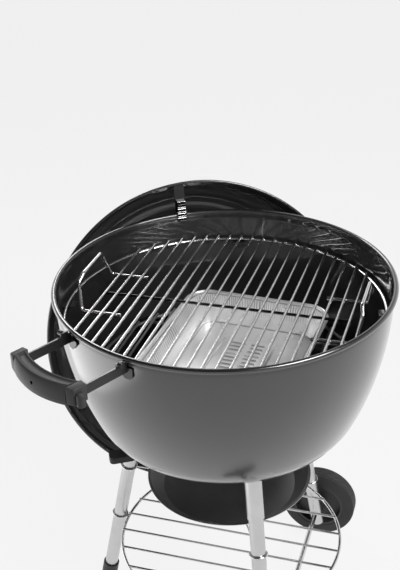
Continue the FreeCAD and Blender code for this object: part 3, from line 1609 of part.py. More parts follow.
def make_hook():
    """A bent strap from the lid's skirt over the rim, with a bright clip on its nose."""
    frame = TOP * at(turn=about("z", size("hook_turn")))
    sheet = size("hook_sheet")
    rest = size("hook_rest_gap")
    bead = size("bowl_bead_centre")
    radius = size("bowl_bead_radius")
    half = size("hook_width") / 2
    flange_x = size("hook_flange_start")
    flange_end = flange_x + size("hook_flange")
    flange = []
    for reach in (flange_end, flange_x):
        ceiling = min(under_skirt(reach, half), under_skirt(reach, -half))
        flange.append((reach, ceiling - sheet / 2 - size("seat_gap") - size("hook_skirt_gap")))
    saddle_z = radius + rest + sheet / 2
    nose_x = bead - radius - rest - sheet / 2
    back_x = bead + radius + rest + sheet / 2 + size("hook_heel_gap")
    strap = flange + [
        (back_x, size("hook_neck_rise")),
        (back_x, saddle_z),
        (nose_x, saddle_z),
        (nose_x, -size("hook_nose_drop")),
    ]
    solid_feature("lid_hook_strap", strip_shape(strap, sheet, size("hook_width")), frame)
    clip_x = nose_x - sheet / 2 - size("clip_sheet") / 2
    slope = (flange_x - back_x) / (flange[1][1] - size("hook_neck_rise"))
    run_x = back_x + (size("clip_top_rise") - size("hook_neck_rise")) * slope
    clip = [
        (clip_x, -size("clip_drop")),
        (clip_x, size("clip_rise")),
        (clip_x + size("clip_lean"), size("clip_top_rise")),
        (run_x - sheet / 2 - rest - size("seat_gap"), size("clip_top_rise")),
    ]
    shape = strip_shape(clip, size("clip_sheet"), size("clip_width"))
    solid_feature("lid_hook_clip", shape, frame)


# ---------------------------------------------------------------- build and write


def check_everything():
    """Stop if any object failed or any sub-part is not a valid solid."""
    for thing in doc.Objects:
        if "Invalid" in thing.State or "Error" in thing.State:
            raise RuntimeError(f"{thing.Label} failed: {thing.State}")
    for label, thing in nodes.items():
        shape = thing.Shape
        if shape.isNull() or not shape.isValid() or not shape.Solids:
            raise RuntimeError(f"{label} has no valid solid")
        if shape.Volume <= 0:
            raise RuntimeError(f"{label} has no volume")


make_bowl()
make_all_brackets()
make_cooking_grate()
make_charcoal_grate()
make_drip_pan()
make_sweep()
make_side_handle()
make_legs()
make_wheels()
make_rack()
make_ash_dish()
make_lid_shell()
make_damper()
make_lid_handle()
make_hook()
doc.recompute()
check_everything()
os.makedirs("parts", exist_ok=True)
for label, thing in nodes.items():
    thing.Shape.exportStep(os.path.join("parts", label + ".step"))
print(len(nodes), "sub-parts written")
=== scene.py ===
import json
import math

import bmesh
import bpy
from mathutils import Euler, Matrix, Vector
from mathutils.kdtree import KDTree


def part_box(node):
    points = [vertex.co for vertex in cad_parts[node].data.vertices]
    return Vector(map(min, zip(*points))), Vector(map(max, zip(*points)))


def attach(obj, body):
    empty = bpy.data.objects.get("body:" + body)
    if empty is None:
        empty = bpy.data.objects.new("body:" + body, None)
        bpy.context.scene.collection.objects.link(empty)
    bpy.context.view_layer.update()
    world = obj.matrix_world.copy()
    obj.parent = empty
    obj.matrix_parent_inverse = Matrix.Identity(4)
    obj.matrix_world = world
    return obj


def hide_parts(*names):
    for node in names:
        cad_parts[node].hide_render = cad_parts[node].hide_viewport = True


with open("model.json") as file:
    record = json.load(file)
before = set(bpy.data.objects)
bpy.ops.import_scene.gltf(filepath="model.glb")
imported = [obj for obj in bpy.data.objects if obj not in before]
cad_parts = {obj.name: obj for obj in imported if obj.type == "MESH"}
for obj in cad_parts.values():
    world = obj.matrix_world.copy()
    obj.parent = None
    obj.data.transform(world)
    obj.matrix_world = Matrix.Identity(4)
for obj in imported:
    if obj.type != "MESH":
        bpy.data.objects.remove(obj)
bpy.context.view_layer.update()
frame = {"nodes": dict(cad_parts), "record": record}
nodes = frame["nodes"]
scene = bpy.context.scene

# The bowl's upright axis at the height of its rim, and the direction of the side handle.
RIM_HEIGHT = 0.720
ring_low, ring_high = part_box("cooking_grate_ring")
BOWL = Vector(((ring_low.x + ring_high.x) / 2, (ring_low.y + ring_high.y) / 2, RIM_HEIGHT))
HANDLE_TURN = math.radians(-27.75)

# Corners closer than this, in metres, are one corner.
SAME_POINT = 0.000002


# ---------------------------------------------------------------- node groups


def reckon(tree, operation, *values):
    """What a Math node makes of its values, each a number or another node's output."""
    node = tree.nodes.new("ShaderNodeMath")
    node.operation = operation
    for socket, value in zip(node.inputs, values):
        if isinstance(value, float):
            socket.default_value = value
        else:
            tree.links.new(value, socket)
    return node.outputs[0]


def new_group(name, inputs, outputs):
    """A shader node group with named inputs (with their usual values) and outputs."""
    group = bpy.data.node_groups.new(name, "ShaderNodeTree")
    for socket, value in inputs:
        made = group.interface.new_socket(socket, in_out="INPUT", socket_type="NodeSocketFloat")
        made.default_value = value
    for socket in outputs:
        group.interface.new_socket(socket, in_out="OUTPUT", socket_type="NodeSocketFloat")
    entry = group.nodes.new("NodeGroupInput")
    leave = group.nodes.new("NodeGroupOutput")
    return group, entry, leave


def object_noise(group, scale, detail=3.0):
    """Noise on Object coordinates, with its scale taken from another node's output."""
    where = group.nodes.new("ShaderNodeTexCoord")
    noise = group.nodes.new("ShaderNodeTexNoise")
    noise.inputs["Detail"].default_value = detail
    group.links.new(where.outputs["Object"], noise.inputs["Vector"])
    group.links.new(scale, noise.inputs["Scale"])
    return noise.outputs["Fac"]


def between(group, noise, low, high):
    """The middle half of a noise's range, spread between two named inputs."""
    spread = group.nodes.new("ShaderNodeMapRange")
    spread.inputs["From Min"].default_value = 0.25
    spread.inputs["From Max"].default_value = 0.75
    group.links.new(noise, spread.inputs["Value"])
    group.links.new(low, spread.inputs["To Min"])
    group.links.new(high, spread.inputs["To Max"])
    return spread.outputs["Result"]


def make_haze():
    """Slow changes of gloss over a surface, as wiping and handling leave them."""
    group, entry, leave = new_group(
        "haze", (("Scale", 12.0), ("Low", 0.1), ("High", 0.2)), ("Roughness",)
    )
    broad = object_noise(group, entry.outputs["Scale"])
    result = between(group, broad, entry.outputs["Low"], entry.outputs["High"])
    group.links.new(result, leave.inputs["Roughness"])
    return group


def make_shade():
    """A slightly darker and a slightly lighter tone of one finish, mottled."""
    group, entry, leave = new_group(
        "shade", (("Scale", 30.0), ("Low", 0.02), ("High", 0.03)), ("Tone",)
    )
    fine = object_noise(group, entry.outputs["Scale"], detail=6.0)
    result = between(group, fine, entry.outputs["Low"], entry.outputs["High"])
    group.links.new(result, leave.inputs["Tone"])
    return group


def make_grain():
    """Fine moulded grain with an unevenness fifty times as broad under it."""
    group, entry, leave = new_group("grain", (("Scale", 1500.0), ("Broad", 0.3)), ("Height",))
    broad_scale = reckon(group, "MULTIPLY", entry.outputs["Scale"], 0.02)
    fine = object_noise(group, entry.outputs["Scale"], detail=2.0)
    broad = object_noise(group, broad_scale, detail=2.0)
    height = reckon(group, "MULTIPLY_ADD", broad, entry.outputs["Broad"], fine)
    group.links.new(height, leave.inputs["Height"])
    return group


def make_crinkle():
    """Shallow dents and creases of thin foil."""
    group, entry, leave = new_group("crinkle", (("Scale", 60.0), ("Creases", 0.5)), ("Height",))
    dents = object_noise(group, entry.outputs["Scale"], detail=1.0)
    where = group.nodes.new("ShaderNodeTexCoord")
    cells = group.nodes.new("ShaderNodeTexVoronoi")
    cells.feature = "DISTANCE_TO_EDGE"
    group.links.new(where.outputs["Object"], cells.inputs["Vector"])
    group.links.new(entry.outputs["Scale"], cells.inputs["Scale"])
    height = reckon(
        group, "MULTIPLY_ADD", cells.outputs["Distance"], entry.outputs["Creases"], dents
    )
    group.links.new(height, leave.inputs["Height"])
    return group


def make_ridges():
    """Even pressed ridges one above another, or side by side once turned about Y."""
    group, entry, leave = new_group("ridges", (("Scale", 60.0), ("Turn", 0.0)), ("Height",))
    where = group.nodes.new("ShaderNodeTexCoord")
    turned = group.nodes.new("ShaderNodeVectorRotate")
    turned.rotation_type = "Y_AXIS"
    wave = group.nodes.new("ShaderNodeTexWave")
    wave.bands_direction = "Z"
    wave.wave_profile = "SIN"
    group.links.new(where.outputs["Object"], turned.inputs["Vector"])
    group.links.new(entry.outputs["Turn"], turned.inputs["Angle"])
    group.links.new(turned.outputs["Vector"], wave.inputs["Vector"])
    group.links.new(entry.outputs["Scale"], wave.inputs["Scale"])
    group.links.new(wave.outputs["Fac"], leave.inputs["Height"])
    return group


HAZE = make_haze()
SHADE = make_shade()
GRAIN = make_grain()
CRINKLE = make_crinkle()
RIDGES = make_ridges()


# ---------------------------------------------------------------- finishes


def place(material, group, **values):
    """A node group in a material, with its own values."""
    node = material.node_tree.nodes.new("ShaderNodeGroup")
    node.node_tree = group
    for name, value in values.items():
        node.inputs[name].default_value = value
    return node


def finish_of(name, tone, roughness, metallic=0.0, haze=12.0, ior=1.5, coat=0.0,
              coat_roughness=0.05, bump=None):
    """A grey finish: its tone and roughness from low to high, its metal, coat and relief.

    bump is (group, values, height in metres)."""
    material = bpy.data.materials.new(name)
    material.use_nodes = True
    tree = material.node_tree
    shader = tree.nodes["Principled BSDF"]
    shader.inputs["Metallic"].default_value = metallic
    shader.inputs["IOR"].default_value = ior
    shader.inputs["Coat Weight"].default_value = coat
    shader.inputs["Coat Roughness"].default_value = coat_roughness
    gloss = place(material, HAZE, Scale=haze, Low=roughness[0], High=roughness[1])
    tree.links.new(gloss.outputs["Roughness"], shader.inputs["Roughness"])
    mottle = place(material, SHADE, Scale=30.0, Low=tone[0], High=tone[1])
    colour = tree.nodes.new("ShaderNodeCombineColor")
    for part in ("Red", "Green", "Blue"):
        tree.links.new(mottle.outputs["Tone"], colour.inputs[part])
    tree.links.new(colour.outputs["Color"], shader.inputs["Base Color"])
    if bump:
        group, values, height = bump
        relief = place(material, group, **values)
        push = tree.nodes.new("ShaderNodeBump")
        push.inputs["Distance"].default_value = height
        push.inputs["Strength"].default_value = 1.0
        tree.links.new(relief.outputs["Height"], push.inputs["Height"])
        tree.links.new(push.outputs["Normal"], shader.inputs["Normal"])
    return material


FINISHES = {
    "enamel_inside": finish_of(
        "enamel_inside", (0.008, 0.014), (0.30, 0.42), haze=9, coat=1.0, coat_roughness=0.03,
    ),
    "enamel_outside": finish_of(
        "enamel_outside", (0.010, 0.014), (0.20, 0.26), ior=1.6, haze=7, coat=1.0,
        coat_roughness=0.16,
    ),
    "bowl_bracket": finish_of("bowl_bracket", (0.006, 0.010), (0.10, 0.16), ior=1.6),
    "plated_wire": finish_of(
        "plated_wire", (0.62, 0.72), (0.16, 0.24), metallic=1.0, haze=40,
        bump=(GRAIN, {"Scale": 700, "Broad": 0.5}, 0.00002),
    ),
    # Painted shade: a darker copy of the rods' plated wire, used for the grate's cross rod.
    "painted_shade_wire": finish_of("painted_shade_wire", (0.05, 0.08), (0.12, 0.2), metallic=1.0, haze=40),
    "charcoal_wire": finish_of(
        "charcoal_wire", (0.30, 0.42), (0.28, 0.4), metallic=1.0, haze=40,
        bump=(GRAIN, {"Scale": 600, "Broad": 0.6}, 0.00004),
    ),
    "foil": finish_of(
        "foil", (0.93, 0.98), (0.26, 0.34), metallic=0.65, haze=20,
        bump=(CRINKLE, {"Scale": 16, "Creases": 0.1}, 0.00001),
    ),
    "sweep_steel": finish_of(
        "sweep_steel", (0.42, 0.5), (0.3, 0.42), metallic=1.0,
        bump=(GRAIN, {"Scale": 500, "Broad": 0.6}, 0.00004),
    ),
    "grip_nylon": finish_of(
        "grip_nylon", (0.044, 0.056), (0.36, 0.46), ior=1.22,
        bump=(GRAIN, {"Scale": 1300, "Broad": 0.4}, 0.00010),
    ),
    "black_plastic": finish_of(
        "black_plastic", (0.018, 0.026), (0.40, 0.52),
        bump=(GRAIN, {"Scale": 1300, "Broad": 0.4}, 0.00010),
    ),
    "bracket_black": finish_of(
        "bracket_black", (0.007, 0.011), (0.24, 0.34),
        bump=(GRAIN, {"Scale": 900, "Broad": 0.5}, 0.00006),
    ),
    "leg_metal": finish_of(
        "leg_metal", (0.55, 0.62), (0.26, 0.36), metallic=1.0,
        bump=(GRAIN, {"Scale": 800, "Broad": 0.3}, 0.00003),
    ),
    "tyre_rubber": finish_of(
        "tyre_rubber", (0.014, 0.022), (0.55, 0.7),
        bump=(RIDGES, {"Scale": 40, "Turn": math.pi / 2}, 0.0016),
    ),
    "dish_aluminium": finish_of(
        "dish_aluminium", (0.6, 0.68), (0.3, 0.4), metallic=1.0,
        bump=(GRAIN, {"Scale": 300, "Broad": 0.6}, 0.00004),
    ),
    "clip_steel": finish_of(
        "clip_steel", (0.34, 0.46), (0.06, 0.12), metallic=1.0,
        bump=(RIDGES, {"Scale": 34}, 0.0040),
    ),
}

# An enamelled part has the outside's finish, and the grate's cross rod has painted shade.
for part in frame["record"]["subparts"]:
    finish = part["material_slot"]
    if finish == "black_enamel":
        finish = "enamel_outside"
    # Painted shade: a darker tone than the rods stands in for the cross rod's shadow and dark
    # reflection.
    if part["node"] == "cooking_grate_cross_rod":
        finish = "painted_shade_wire"
    for material_slot in nodes[part["node"]].material_slots:
        material_slot.material = FINISHES[finish]


# ---------------------------------------------------------------- modelling helpers


def nothing_selected():
    """The next piece that is made, or worked on, is then the only one."""
    bpy.ops.object.select_all(action="DESELECT")


def only(piece):
    """Selects one piece alone and makes it the active one."""
    nothing_selected()
    piece.select_set(True)
    bpy.context.view_layer.objects.active = piece


def joined(pieces):
    """Puts the meshes of several pieces into the first of them."""
    nothing_selected()
    for piece in pieces:
        piece.select_set(True)
    bpy.context.view_layer.objects.active = pieces[0]
    bpy.ops.object.join()
    return pieces[0]


def combine(piece, other, operation):
    """Cuts another closed piece out of a piece, or unites the two, and removes the other."""
    only(piece)
    change = piece.modifiers.new("combined", "BOOLEAN")
    change.operation = operation
    change.object = other
    bpy.ops.object.modifier_apply(modifier="combined")
    bpy.data.objects.remove(other)


def rounded(piece, width):
    """Rounds the sharp edges of a closed piece."""
    only(piece)
    soft = piece.modifiers.new("rounded", "BEVEL")
    soft.width = width
    soft.segments = 4
    soft.limit_method = "ANGLE"
    soft.angle_limit = math.radians(35)
    bpy.ops.object.modifier_apply(modifier="rounded")


def in_metres(x, y, z):
    """A point that is given in millimetres."""
    return Vector((x / 1000, y / 1000, z / 1000))


def skin(name, rings, closed=False, filled=False):
    """A surface through rings of points.

    closed joins the last ring to the first, and filled shuts both ends."""
    rows, count = len(rings), len(rings[0])
    steps = rows if closed else rows - 1
    nothing_selected()
    bpy.ops.mesh.primitive_grid_add(x_subdivisions=steps, y_subdivisions=count, size=1.0)
    piece = bpy.context.object
    piece.name = name
    for vertex in piece.data.vertices:
        row = round((vertex.co.x + 0.5) * steps)
        column = round((vertex.co.y + 0.5) * count)
        vertex.co = rings[row % rows][column % count]
    bpy.ops.object.mode_set(mode="EDIT")
    bpy.ops.mesh.select_all(action="SELECT")
    bpy.ops.mesh.remove_doubles(threshold=SAME_POINT)
    if filled:
        bpy.ops.mesh.select_all(action="DESELECT")
        bpy.ops.mesh.select_mode(type="EDGE")
        bpy.ops.mesh.select_non_manifold()
        bpy.ops.mesh.edge_face_add()
        bpy.ops.mesh.select_all(action="SELECT")
    bpy.ops.mesh.normals_make_consistent(inside=False)
    bpy.ops.object.mode_set(mode="OBJECT")
    return piece


# ---------------------------------------------------------------- bowl and lid


def arc(centre, radius, start, finish, count):
    """Points (reach, depth) of an arc between two angles in degrees."""
    angles = [math.radians(start + (finish - start) * step / count) for step in range(count + 1)]
    return [
        (centre[0] + radius * math.cos(a), centre[1] + radius * math.sin(a)) for a in angles
    ]


def dish_outline(bead, bead_radius, wall, neck, shoulder, start, wall_radius, side_radius,
                 knuckle_rise, knuckle_radius, depth, reaches):
    """The outline (reach, depth) of a pressed dish with a rolled bead, in millimetres.

    bead is the reach of the bead's middle, and wall the thickness of the sheet. The side is
    an arc, widest (wall_radius) at the depth start. It ends knuckle_rise short of the full
    depth, in a knuckle that leads to the shallow base, whose points have the given reaches.
    The side begins at the depth shoulder. Above it is a straight neck that ends at the depth
    neck, or where neck is 0 a smooth flare from the bead down to the shoulder."""
    side_x = wall_radius - side_radius
    side_turn = math.asin((depth - knuckle_rise) / side_radius)
    knuckle = (
        side_x + (side_radius - knuckle_radius) * math.cos(side_turn),
        start + (side_radius - knuckle_radius) * math.sin(side_turn),
    )
    gap = start + depth - knuckle[1]
    base_radius = (knuckle[0] ** 2 + gap ** 2 - knuckle_radius ** 2) / (2 * (gap - knuckle_radius))
    base_turn = math.degrees(math.asin(knuckle[0] / (base_radius - knuckle_radius)))
    side_turn = math.degrees(side_turn)
    base_z = start + depth - base_radius
    knuckle_steps, side_steps, flare_steps = 18, 30, 12

    def layer(inset):
        """The face of the sheet that lies this far in from its outer one, base to neck."""
        base, side = base_radius - inset, side_radius - inset
        points = [(reach, base_z + math.sqrt(base ** 2 - reach ** 2)) for reach in reaches]
        points += arc(knuckle, knuckle_radius - inset, 90 - base_turn, side_turn, knuckle_steps)
        top = math.degrees(math.asin((shoulder - start) / side))
        points += arc((side_x, start), side, side_turn, top, side_steps)[1:]
        tight = bead - bead_radius + (wall - inset)
        if neck:
            return points + [(tight, neck), (tight, neck * 0.5)]
        for step in range(1, flare_steps):
            share = step / flare_steps
            z = shoulder * (1 - share)
            plain = side_x + math.sqrt(side ** 2 - (z - start) ** 2)
            eased = share ** 2 * (3 - 2 * share)
            points.append((plain + (tight - plain) * eased, z))
        return points

    # The sheet curls out over the rim and back under itself.
    curl_start, curl_end = 180, 460
    hollow_face = arc((bead, 0), bead_radius - wall, curl_start, curl_end, 16)
    outer_face = arc((bead, 0), bead_radius, curl_end, curl_start, 20)
    return layer(0.0) + hollow_face + outer_face + layer(wall)[::-1]


def lathe(name, outline, where, steps):
    """An outline turned round the z axis of a frame; its depth runs along the frame's z."""
    rings = []
    for step in range(steps):
        turn = 2 * math.pi * step / steps
        rings.append([
            where @ in_metres(reach * math.cos(turn), reach * math.sin(turn), depth)
            for reach, depth in outline
        ])
    return skin(name, rings, closed=True)


def open_vents(piece, middle, inner, outer, half_angle, turns):
    """Cuts air vents through both faces of the base and closes their edges.

    A vent runs from the inner to the outer reach, and half_angle degrees to each side of its
    turn."""
    mesh = bmesh.new()
    mesh.from_mesh(piece.data)
    for turn in turns:
        gone = []
        for face in mesh.faces:
            spot = face.calc_center_median() - middle
            reach = math.hypot(spot.x, spot.y)
            angle = math.degrees(math.atan2(spot.y, spot.x)) - turn
            angle = (angle + 180) % 360 - 180
            if inner < reach < outer and abs(angle) < half_angle:
                gone.append(face)
        bmesh.ops.delete(mesh, geom=gone, context="FACES")
        edges = [edge for edge in mesh.edges if edge.is_boundary]
        bmesh.ops.bridge_loops(mesh, edges=edges)
    bmesh.ops.recalc_face_normals(mesh, faces=mesh.faces)
    mesh.to_mesh(piece.data)
    mesh.free()


def two_sided(piece, is_inside):
    """Gives each face the inside's or the outside's enamel."""
    piece.data.materials.append(FINISHES["enamel_inside"])
    piece.data.materials.append(FINISHES["enamel_outside"])
    for face in piece.data.polygons:
        face.material_index = 0 if is_inside(face) else 1


def make_bowl_skin():
    """The enamelled bowl: thin and hollow, with a rolled bead and three vents in its base."""
    outline = dish_outline(
        bead=282.5, bead_radius=4.45, wall=1.2, neck=0.0, shoulder=14.0, start=0.0,
        wall_radius=281.0, side_radius=560.0, knuckle_rise=85.0, knuckle_radius=115.0,
        depth=310.0, reaches=(4.08, 15, 28, 42, 55, 68, 81, 94, 110, 125, 140),
    )
    upside_down = Matrix.Translation(BOWL) @ Matrix.Rotation(math.pi, 4, "X")
    piece = lathe("bowl_skin", outline, upside_down, 360)
    open_vents(piece, BOWL, inner=0.042, outer=0.094, half_angle=16, turns=(-30, 90, 210))
    bpy.ops.object.shade_smooth_by_angle(angle=math.radians(40))
    knuckle_height = BOWL.z - 0.22
    bead_reach = 0.2812

    def is_inside(face):
        out = Vector((face.center.x - BOWL.x, face.center.y - BOWL.y))
        if face.center.z < knuckle_height:
            return face.normal.z > 0
        return out.length < bead_reach and face.normal.x * out.x + face.normal.y * out.y < 0

    two_sided(piece, is_inside)
    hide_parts("bowl")
    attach(piece, "stand")


def lid_frame():
    """The lid as it hangs: its origin at the middle of its mouth, z into the dome."""
    lid_turn, lid_tilt = math.radians(208.25), math.radians(14.0)
    lid_reach, lid_height = 0.2182, -0.230
    turned = Matrix.Translation(BOWL) @ Matrix.Rotation(lid_turn, 4, "Z")
    hung = turned @ Matrix.Translation((lid_reach, 0.0, lid_height))
    tilted = hung @ Matrix.Rotation(lid_tilt, 4, "Y")
    x_to_y_to_z_to_x = Matrix.Rotation(math.radians(120), 4, (1, 1, 1))
    return tilted @ x_to_y_to_z_to_x


def make_lid_skin():
    """The enamelled lid, bored for its handle's screws, its damper's rivet and air."""
    where = lid_frame()
    outline = dish_outline(
        bead=300.6, bead_radius=2.4, wall=1.1, neck=23.6, shoulder=27.6, start=27.6,
        wall_radius=290.5, side_radius=427.0, knuckle_rise=117.0, knuckle_radius=101.0,
        depth=198.0, reaches=tuple(range(0, 120, 12)),
    )
    piece = lathe("lid_skin", outline, where, 288)
    screw_offset, screw_radius = 0.065, 0.00335
    damper_offset, rivet_radius = 0.150, 0.0034
    hole_offset, hole_radius = 0.026, 0.009
    bores = [
        (0.0, screw_offset, screw_radius), (0.0, -screw_offset, screw_radius),
        (damper_offset, 0.0, rivet_radius),
    ]
    for step in range(4):
        angle = math.radians(45 + 90 * step)
        x = damper_offset + hole_offset * math.cos(angle)
        bores.append((x, hole_offset * math.sin(angle), hole_radius))
    dome_depth, drill_length = 0.205, 0.1
    drills = []
    for x, y, radius in bores:
        nothing_selected()
        bpy.ops.mesh.primitive_cylinder_add(vertices=32, radius=radius, depth=drill_length)
        drill = bpy.context.object
        for vertex in drill.data.vertices:
            vertex.co = where @ (vertex.co + Vector((x, y, dome_depth)))
        drills.append(drill)
    combine(piece, joined(drills), "DIFFERENCE")
    bpy.ops.object.shade_smooth_by_angle(angle=math.radians(40))
    inward = where.inverted()
    knuckle_depth = 0.12
    bead_reach = 0.3

    def is_inside(face):
        spot = inward @ face.center
        normal = inward.to_3x3() @ face.normal
        out = Vector((spot.x, spot.y))
        if spot.z > knuckle_depth:
            return normal.z < 0
        return out.length < bead_reach and normal.x * out.x + normal.y * out.y < 0

    two_sided(piece, is_inside)
    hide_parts("lid_shell")
    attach(piece, "lid")


# ---------------------------------------------------------------- foil pan

PAN_TURN = math.radians(-3.45)
PAN_POINTS = 1248
FOIL_THICKNESS = 0.0003
PLEAT_DEPTH = 0.0006
PANEL_LENGTH = 0.2004
PANEL_WIDTH = 0.0924
PANEL_HEIGHT = 0.0032
RIB_COLUMN = 0.0175
RIB_ROWS = 15
RIB_PITCH = 0.0122
RIB_RADIUS = 0.0036
RIB_HALF_STRAIGHT = 0.0098
RIB_DEPTH = 0.0028


def rounded_outline(half_long, half_wide, corner, count):
    """Points round a rounded rectangle, the same number on each side and corner."""
    points = []
    side = count // 4
    bend = side // 4
    for quarter in range(4):
        along, across = (half_long, half_wide) if quarter % 2 == 0 else (half_wide, half_long)
        turn = Matrix.Rotation(quarter * math.pi / 2, 2)
        for step in range(side - bend):
            share = step / (side - bend)
            points.append(turn @ Vector((along, (across - corner) * (2 * share - 1))))
        for step in range(bend):
            angle = step / bend * math.pi / 2
            point = Vector((along - corner, across - corner))
            point += corner * Vector((math.cos(angle), math.sin(angle)))
            points.append(turn @ point)
    return points


def pleat(index):
    """How far a fold stands out at a point of the wall: small, close and uneven folds."""
    turn = index / PAN_POINTS * 2 * math.pi
    spot = (turn * 34 + 0.3 * math.sin(turn * 9) + 0.15 * math.sin(turn * 31)) % 1.0
    groove = max(0.0, 1.0 - abs(spot - 0.5) * 3.0)
    return 1.9 * groove * (0.75 + 0.25 * math.sin(turn * 17 + 1.0))


def pan_rings(base, tall):
    """Rings of points from the pan's floor out to its rolled rim, with the painted shade of their
    creases.
    """
    # Half length, half width, corner, height and painted crease shade.
    floor = (
        (0.1000, 0.0460, 0.0040, 0.0032, 0), (0.1012, 0.0472, 0.0050, 0.0030, 0.6),
        (0.1024, 0.0484, 0.0055, 0.0018, 1), (0.1036, 0.0496, 0.0060, 0.0007, 0.6),
        (0.1050, 0.0510, 0.0070, 0.0005, 0), (0.1300, 0.0800, 0.0120, 0.0009, 0),
        (0.1450, 0.0995, 0.0180, 0.0008, 0), (0.1484, 0.1029, 0.0200, 0.0005, 0.1),
        (0.1496, 0.1041, 0.0205, 0.0003, 0.9),
    )
    # Share of the way out to the rim, height, share of the pleats' depth and painted crease shade.
    wall = (
        (0.015, 0.0008, 0, 0.7), (0.05, 0.0030, 0, 0), (0.10, 0.0090, 0, 0),
        (0.22, 0.0210, 0.1, 0), (0.32, 0.0290, 0.6, 0), (0.42, 0.0370, 1, 0),
        (0.54, 0.0460, 1, 0), (0.60, 0.0500, 1, 0), (0.63, 0.0520, 0.7, 0),
        (0.65, 0.0530, 0.2, 0.5), (0.69, 0.0528, 0, 1.0), (0.735, 0.0530, 0, 0.9),
        (0.755, tall - 0.0040, 0, 0), (0.79, tall - 0.0012, 0, 0),
        (0.84, tall - 0.0001, 0, 0), (0.90, tall - 0.0003, 0, 0),
        (0.95, tall - 0.0014, 0, 0), (0.985, tall - 0.0036, 0, 0),
        (0.99, tall - 0.0058, 0, 0), (0.95, tall - 0.0074, 0, 0),
    )
    rings, crease_shades = [], []
    for long, wide, corner, height, crease_shade in floor:
        flat = rounded_outline(long, wide, corner, PAN_POINTS)
        rings.append([Vector((point.x, point.y, base + height)) for point in flat])
        crease_shades.append([crease_shade] * PAN_POINTS)
    for share, height, folds, crease_shade in wall:
        flat = rounded_outline(
            0.150 + 0.0180 * share, 0.105 + 0.0305 * share, 0.022 + 0.021 * share, PAN_POINTS
        )
        ring = []
        for index, point in enumerate(flat):
            along = (flat[(index + 1) % PAN_POINTS] - flat[index - 1]).normalized()
            out = Vector((along.y, -along.x)) * pleat(index) * PLEAT_DEPTH * folds
            ring.append(Vector((point.x + out.x, point.y + out.y, base + height)))
        rings.append(ring)
        # Painted shade in the pleats' grooves, as deep as the folds there.
        crease_shades.append([
            max(crease_shade, min(1.0, pleat(index) * 0.6) * folds) for index in range(PAN_POINTS)
        ])
    return rings, crease_shades


def paint_crease_shade(piece, points, crease_shades):
    """Each corner of the piece takes the painted crease shade of the nearest of the points."""
    tree = KDTree(len(points))
    for index, point in enumerate(points):
        tree.insert(point, index)
    tree.balance()
    layer = piece.data.attributes.new("crease_shade", "FLOAT", "POINT")
    for vertex in piece.data.vertices:
        layer.data[vertex.index].value = crease_shades[tree.find(vertex.co)[1]]


def rib_rise(x, y):
    """1 along the middle line of a rib, falling to 0 at its edge and beyond."""
    rise = 0.0
    for column in (-1, 1):
        for row in range(RIB_ROWS):
            across = (x - (row - RIB_ROWS // 2) * RIB_PITCH) / RIB_RADIUS
            along = max(abs(y - column * RIB_COLUMN) - RIB_HALF_STRAIGHT, 0.0) / RIB_RADIUS
            rise = max(rise, 1 - across ** 2 - along ** 2)
    return rise


def make_ribbed_panel(base):
    """The raised panel in the pan's floor, with two columns of sunk ribs and painted shade on
    them.
    """
    nothing_selected()
    bpy.ops.mesh.primitive_grid_add(x_subdivisions=168, y_subdivisions=70, size=1.0)
    panel = bpy.context.object
    layer = panel.data.attributes.new("crease_shade", "FLOAT", "POINT")
    for vertex in panel.data.vertices:
        x, y = vertex.co.x * PANEL_LENGTH, vertex.co.y * PANEL_WIDTH
        rise = rib_rise(x, y)
        vertex.co = (x, y, base + PANEL_HEIGHT - RIB_DEPTH * math.sqrt(rise))
        # Painted shade: full along the ribs' sloping edges, lighter over their sunk floors.
        layer.data[vertex.index].value = 1.0 if 0.0 < rise < 0.5 else 0.4 * (rise > 0.0)
    return panel


def paint_shade_in_creases(material, share):
    """Painted shade: takes this share of the tone away where the painted crease shade is 1."""
    tree = material.node_tree
    shader = tree.nodes["Principled BSDF"]
    tone = shader.inputs["Base Color"].links[0].from_socket
    painted_shade = tree.nodes.new("ShaderNodeAttribute")
    painted_shade.attribute_name = "crease_shade"
    fade = tree.nodes.new("ShaderNodeMapRange")
    fade.inputs["To Min"].default_value = 1.0
    fade.inputs["To Max"].default_value = 1.0 - share
    scaled = tree.nodes.new("ShaderNodeVectorMath")
    scaled.operation = "SCALE"
    tree.links.new(painted_shade.outputs["Fac"], fade.inputs["Value"])
    tree.links.new(tone, scaled.inputs[0])
    tree.links.new(fade.outputs["Result"], scaled.inputs["Scale"])
    tree.links.new(scaled.outputs[0], shader.inputs["Base Color"])


def make_foil_pan():
    """A pressed foil pan: floor with a stepped panel and ribs, pleated walls, rolled rim."""
    low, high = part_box("drip_pan")
    middle = (low + high) / 2
    rings, crease_shades = pan_rings(low.z, high.z - low.z)
    pan = skin("foil_pan", rings)
    paint_crease_shade(pan, sum(rings, []), sum(crease_shades, []))
    joined([pan, make_ribbed_panel(low.z)])
    turn = Matrix.Rotation(PAN_TURN, 3, "Z")
    for vertex in pan.data.vertices:
        vertex.co = turn @ vertex.co + Vector((middle.x, middle.y, 0))
    sheet = pan.modifiers.new("sheet", "SOLIDIFY")
    sheet.thickness = FOIL_THICKNESS
    sheet.offset = 0
    bpy.ops.object.modifier_apply(modifier="sheet")
    bpy.ops.object.shade_smooth_by_angle(angle=math.radians(60))
    # Painted shade in the pleats, the rim groove, the floor lines and the ribs.
    paint_shade_in_creases(FINISHES["foil"], 0.72)
    pan.data.materials.append(FINISHES["foil"])
    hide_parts("drip_pan")
    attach(pan, "pan")


# ---------------------------------------------------------------- side handle


def handle_frame():
    """The side handle: x along the grip, y outward, z up from the rim."""
    return Matrix.Translation(BOWL) @ Matrix.Rotation(HANDLE_TURN - math.pi / 2, 4, "Z")


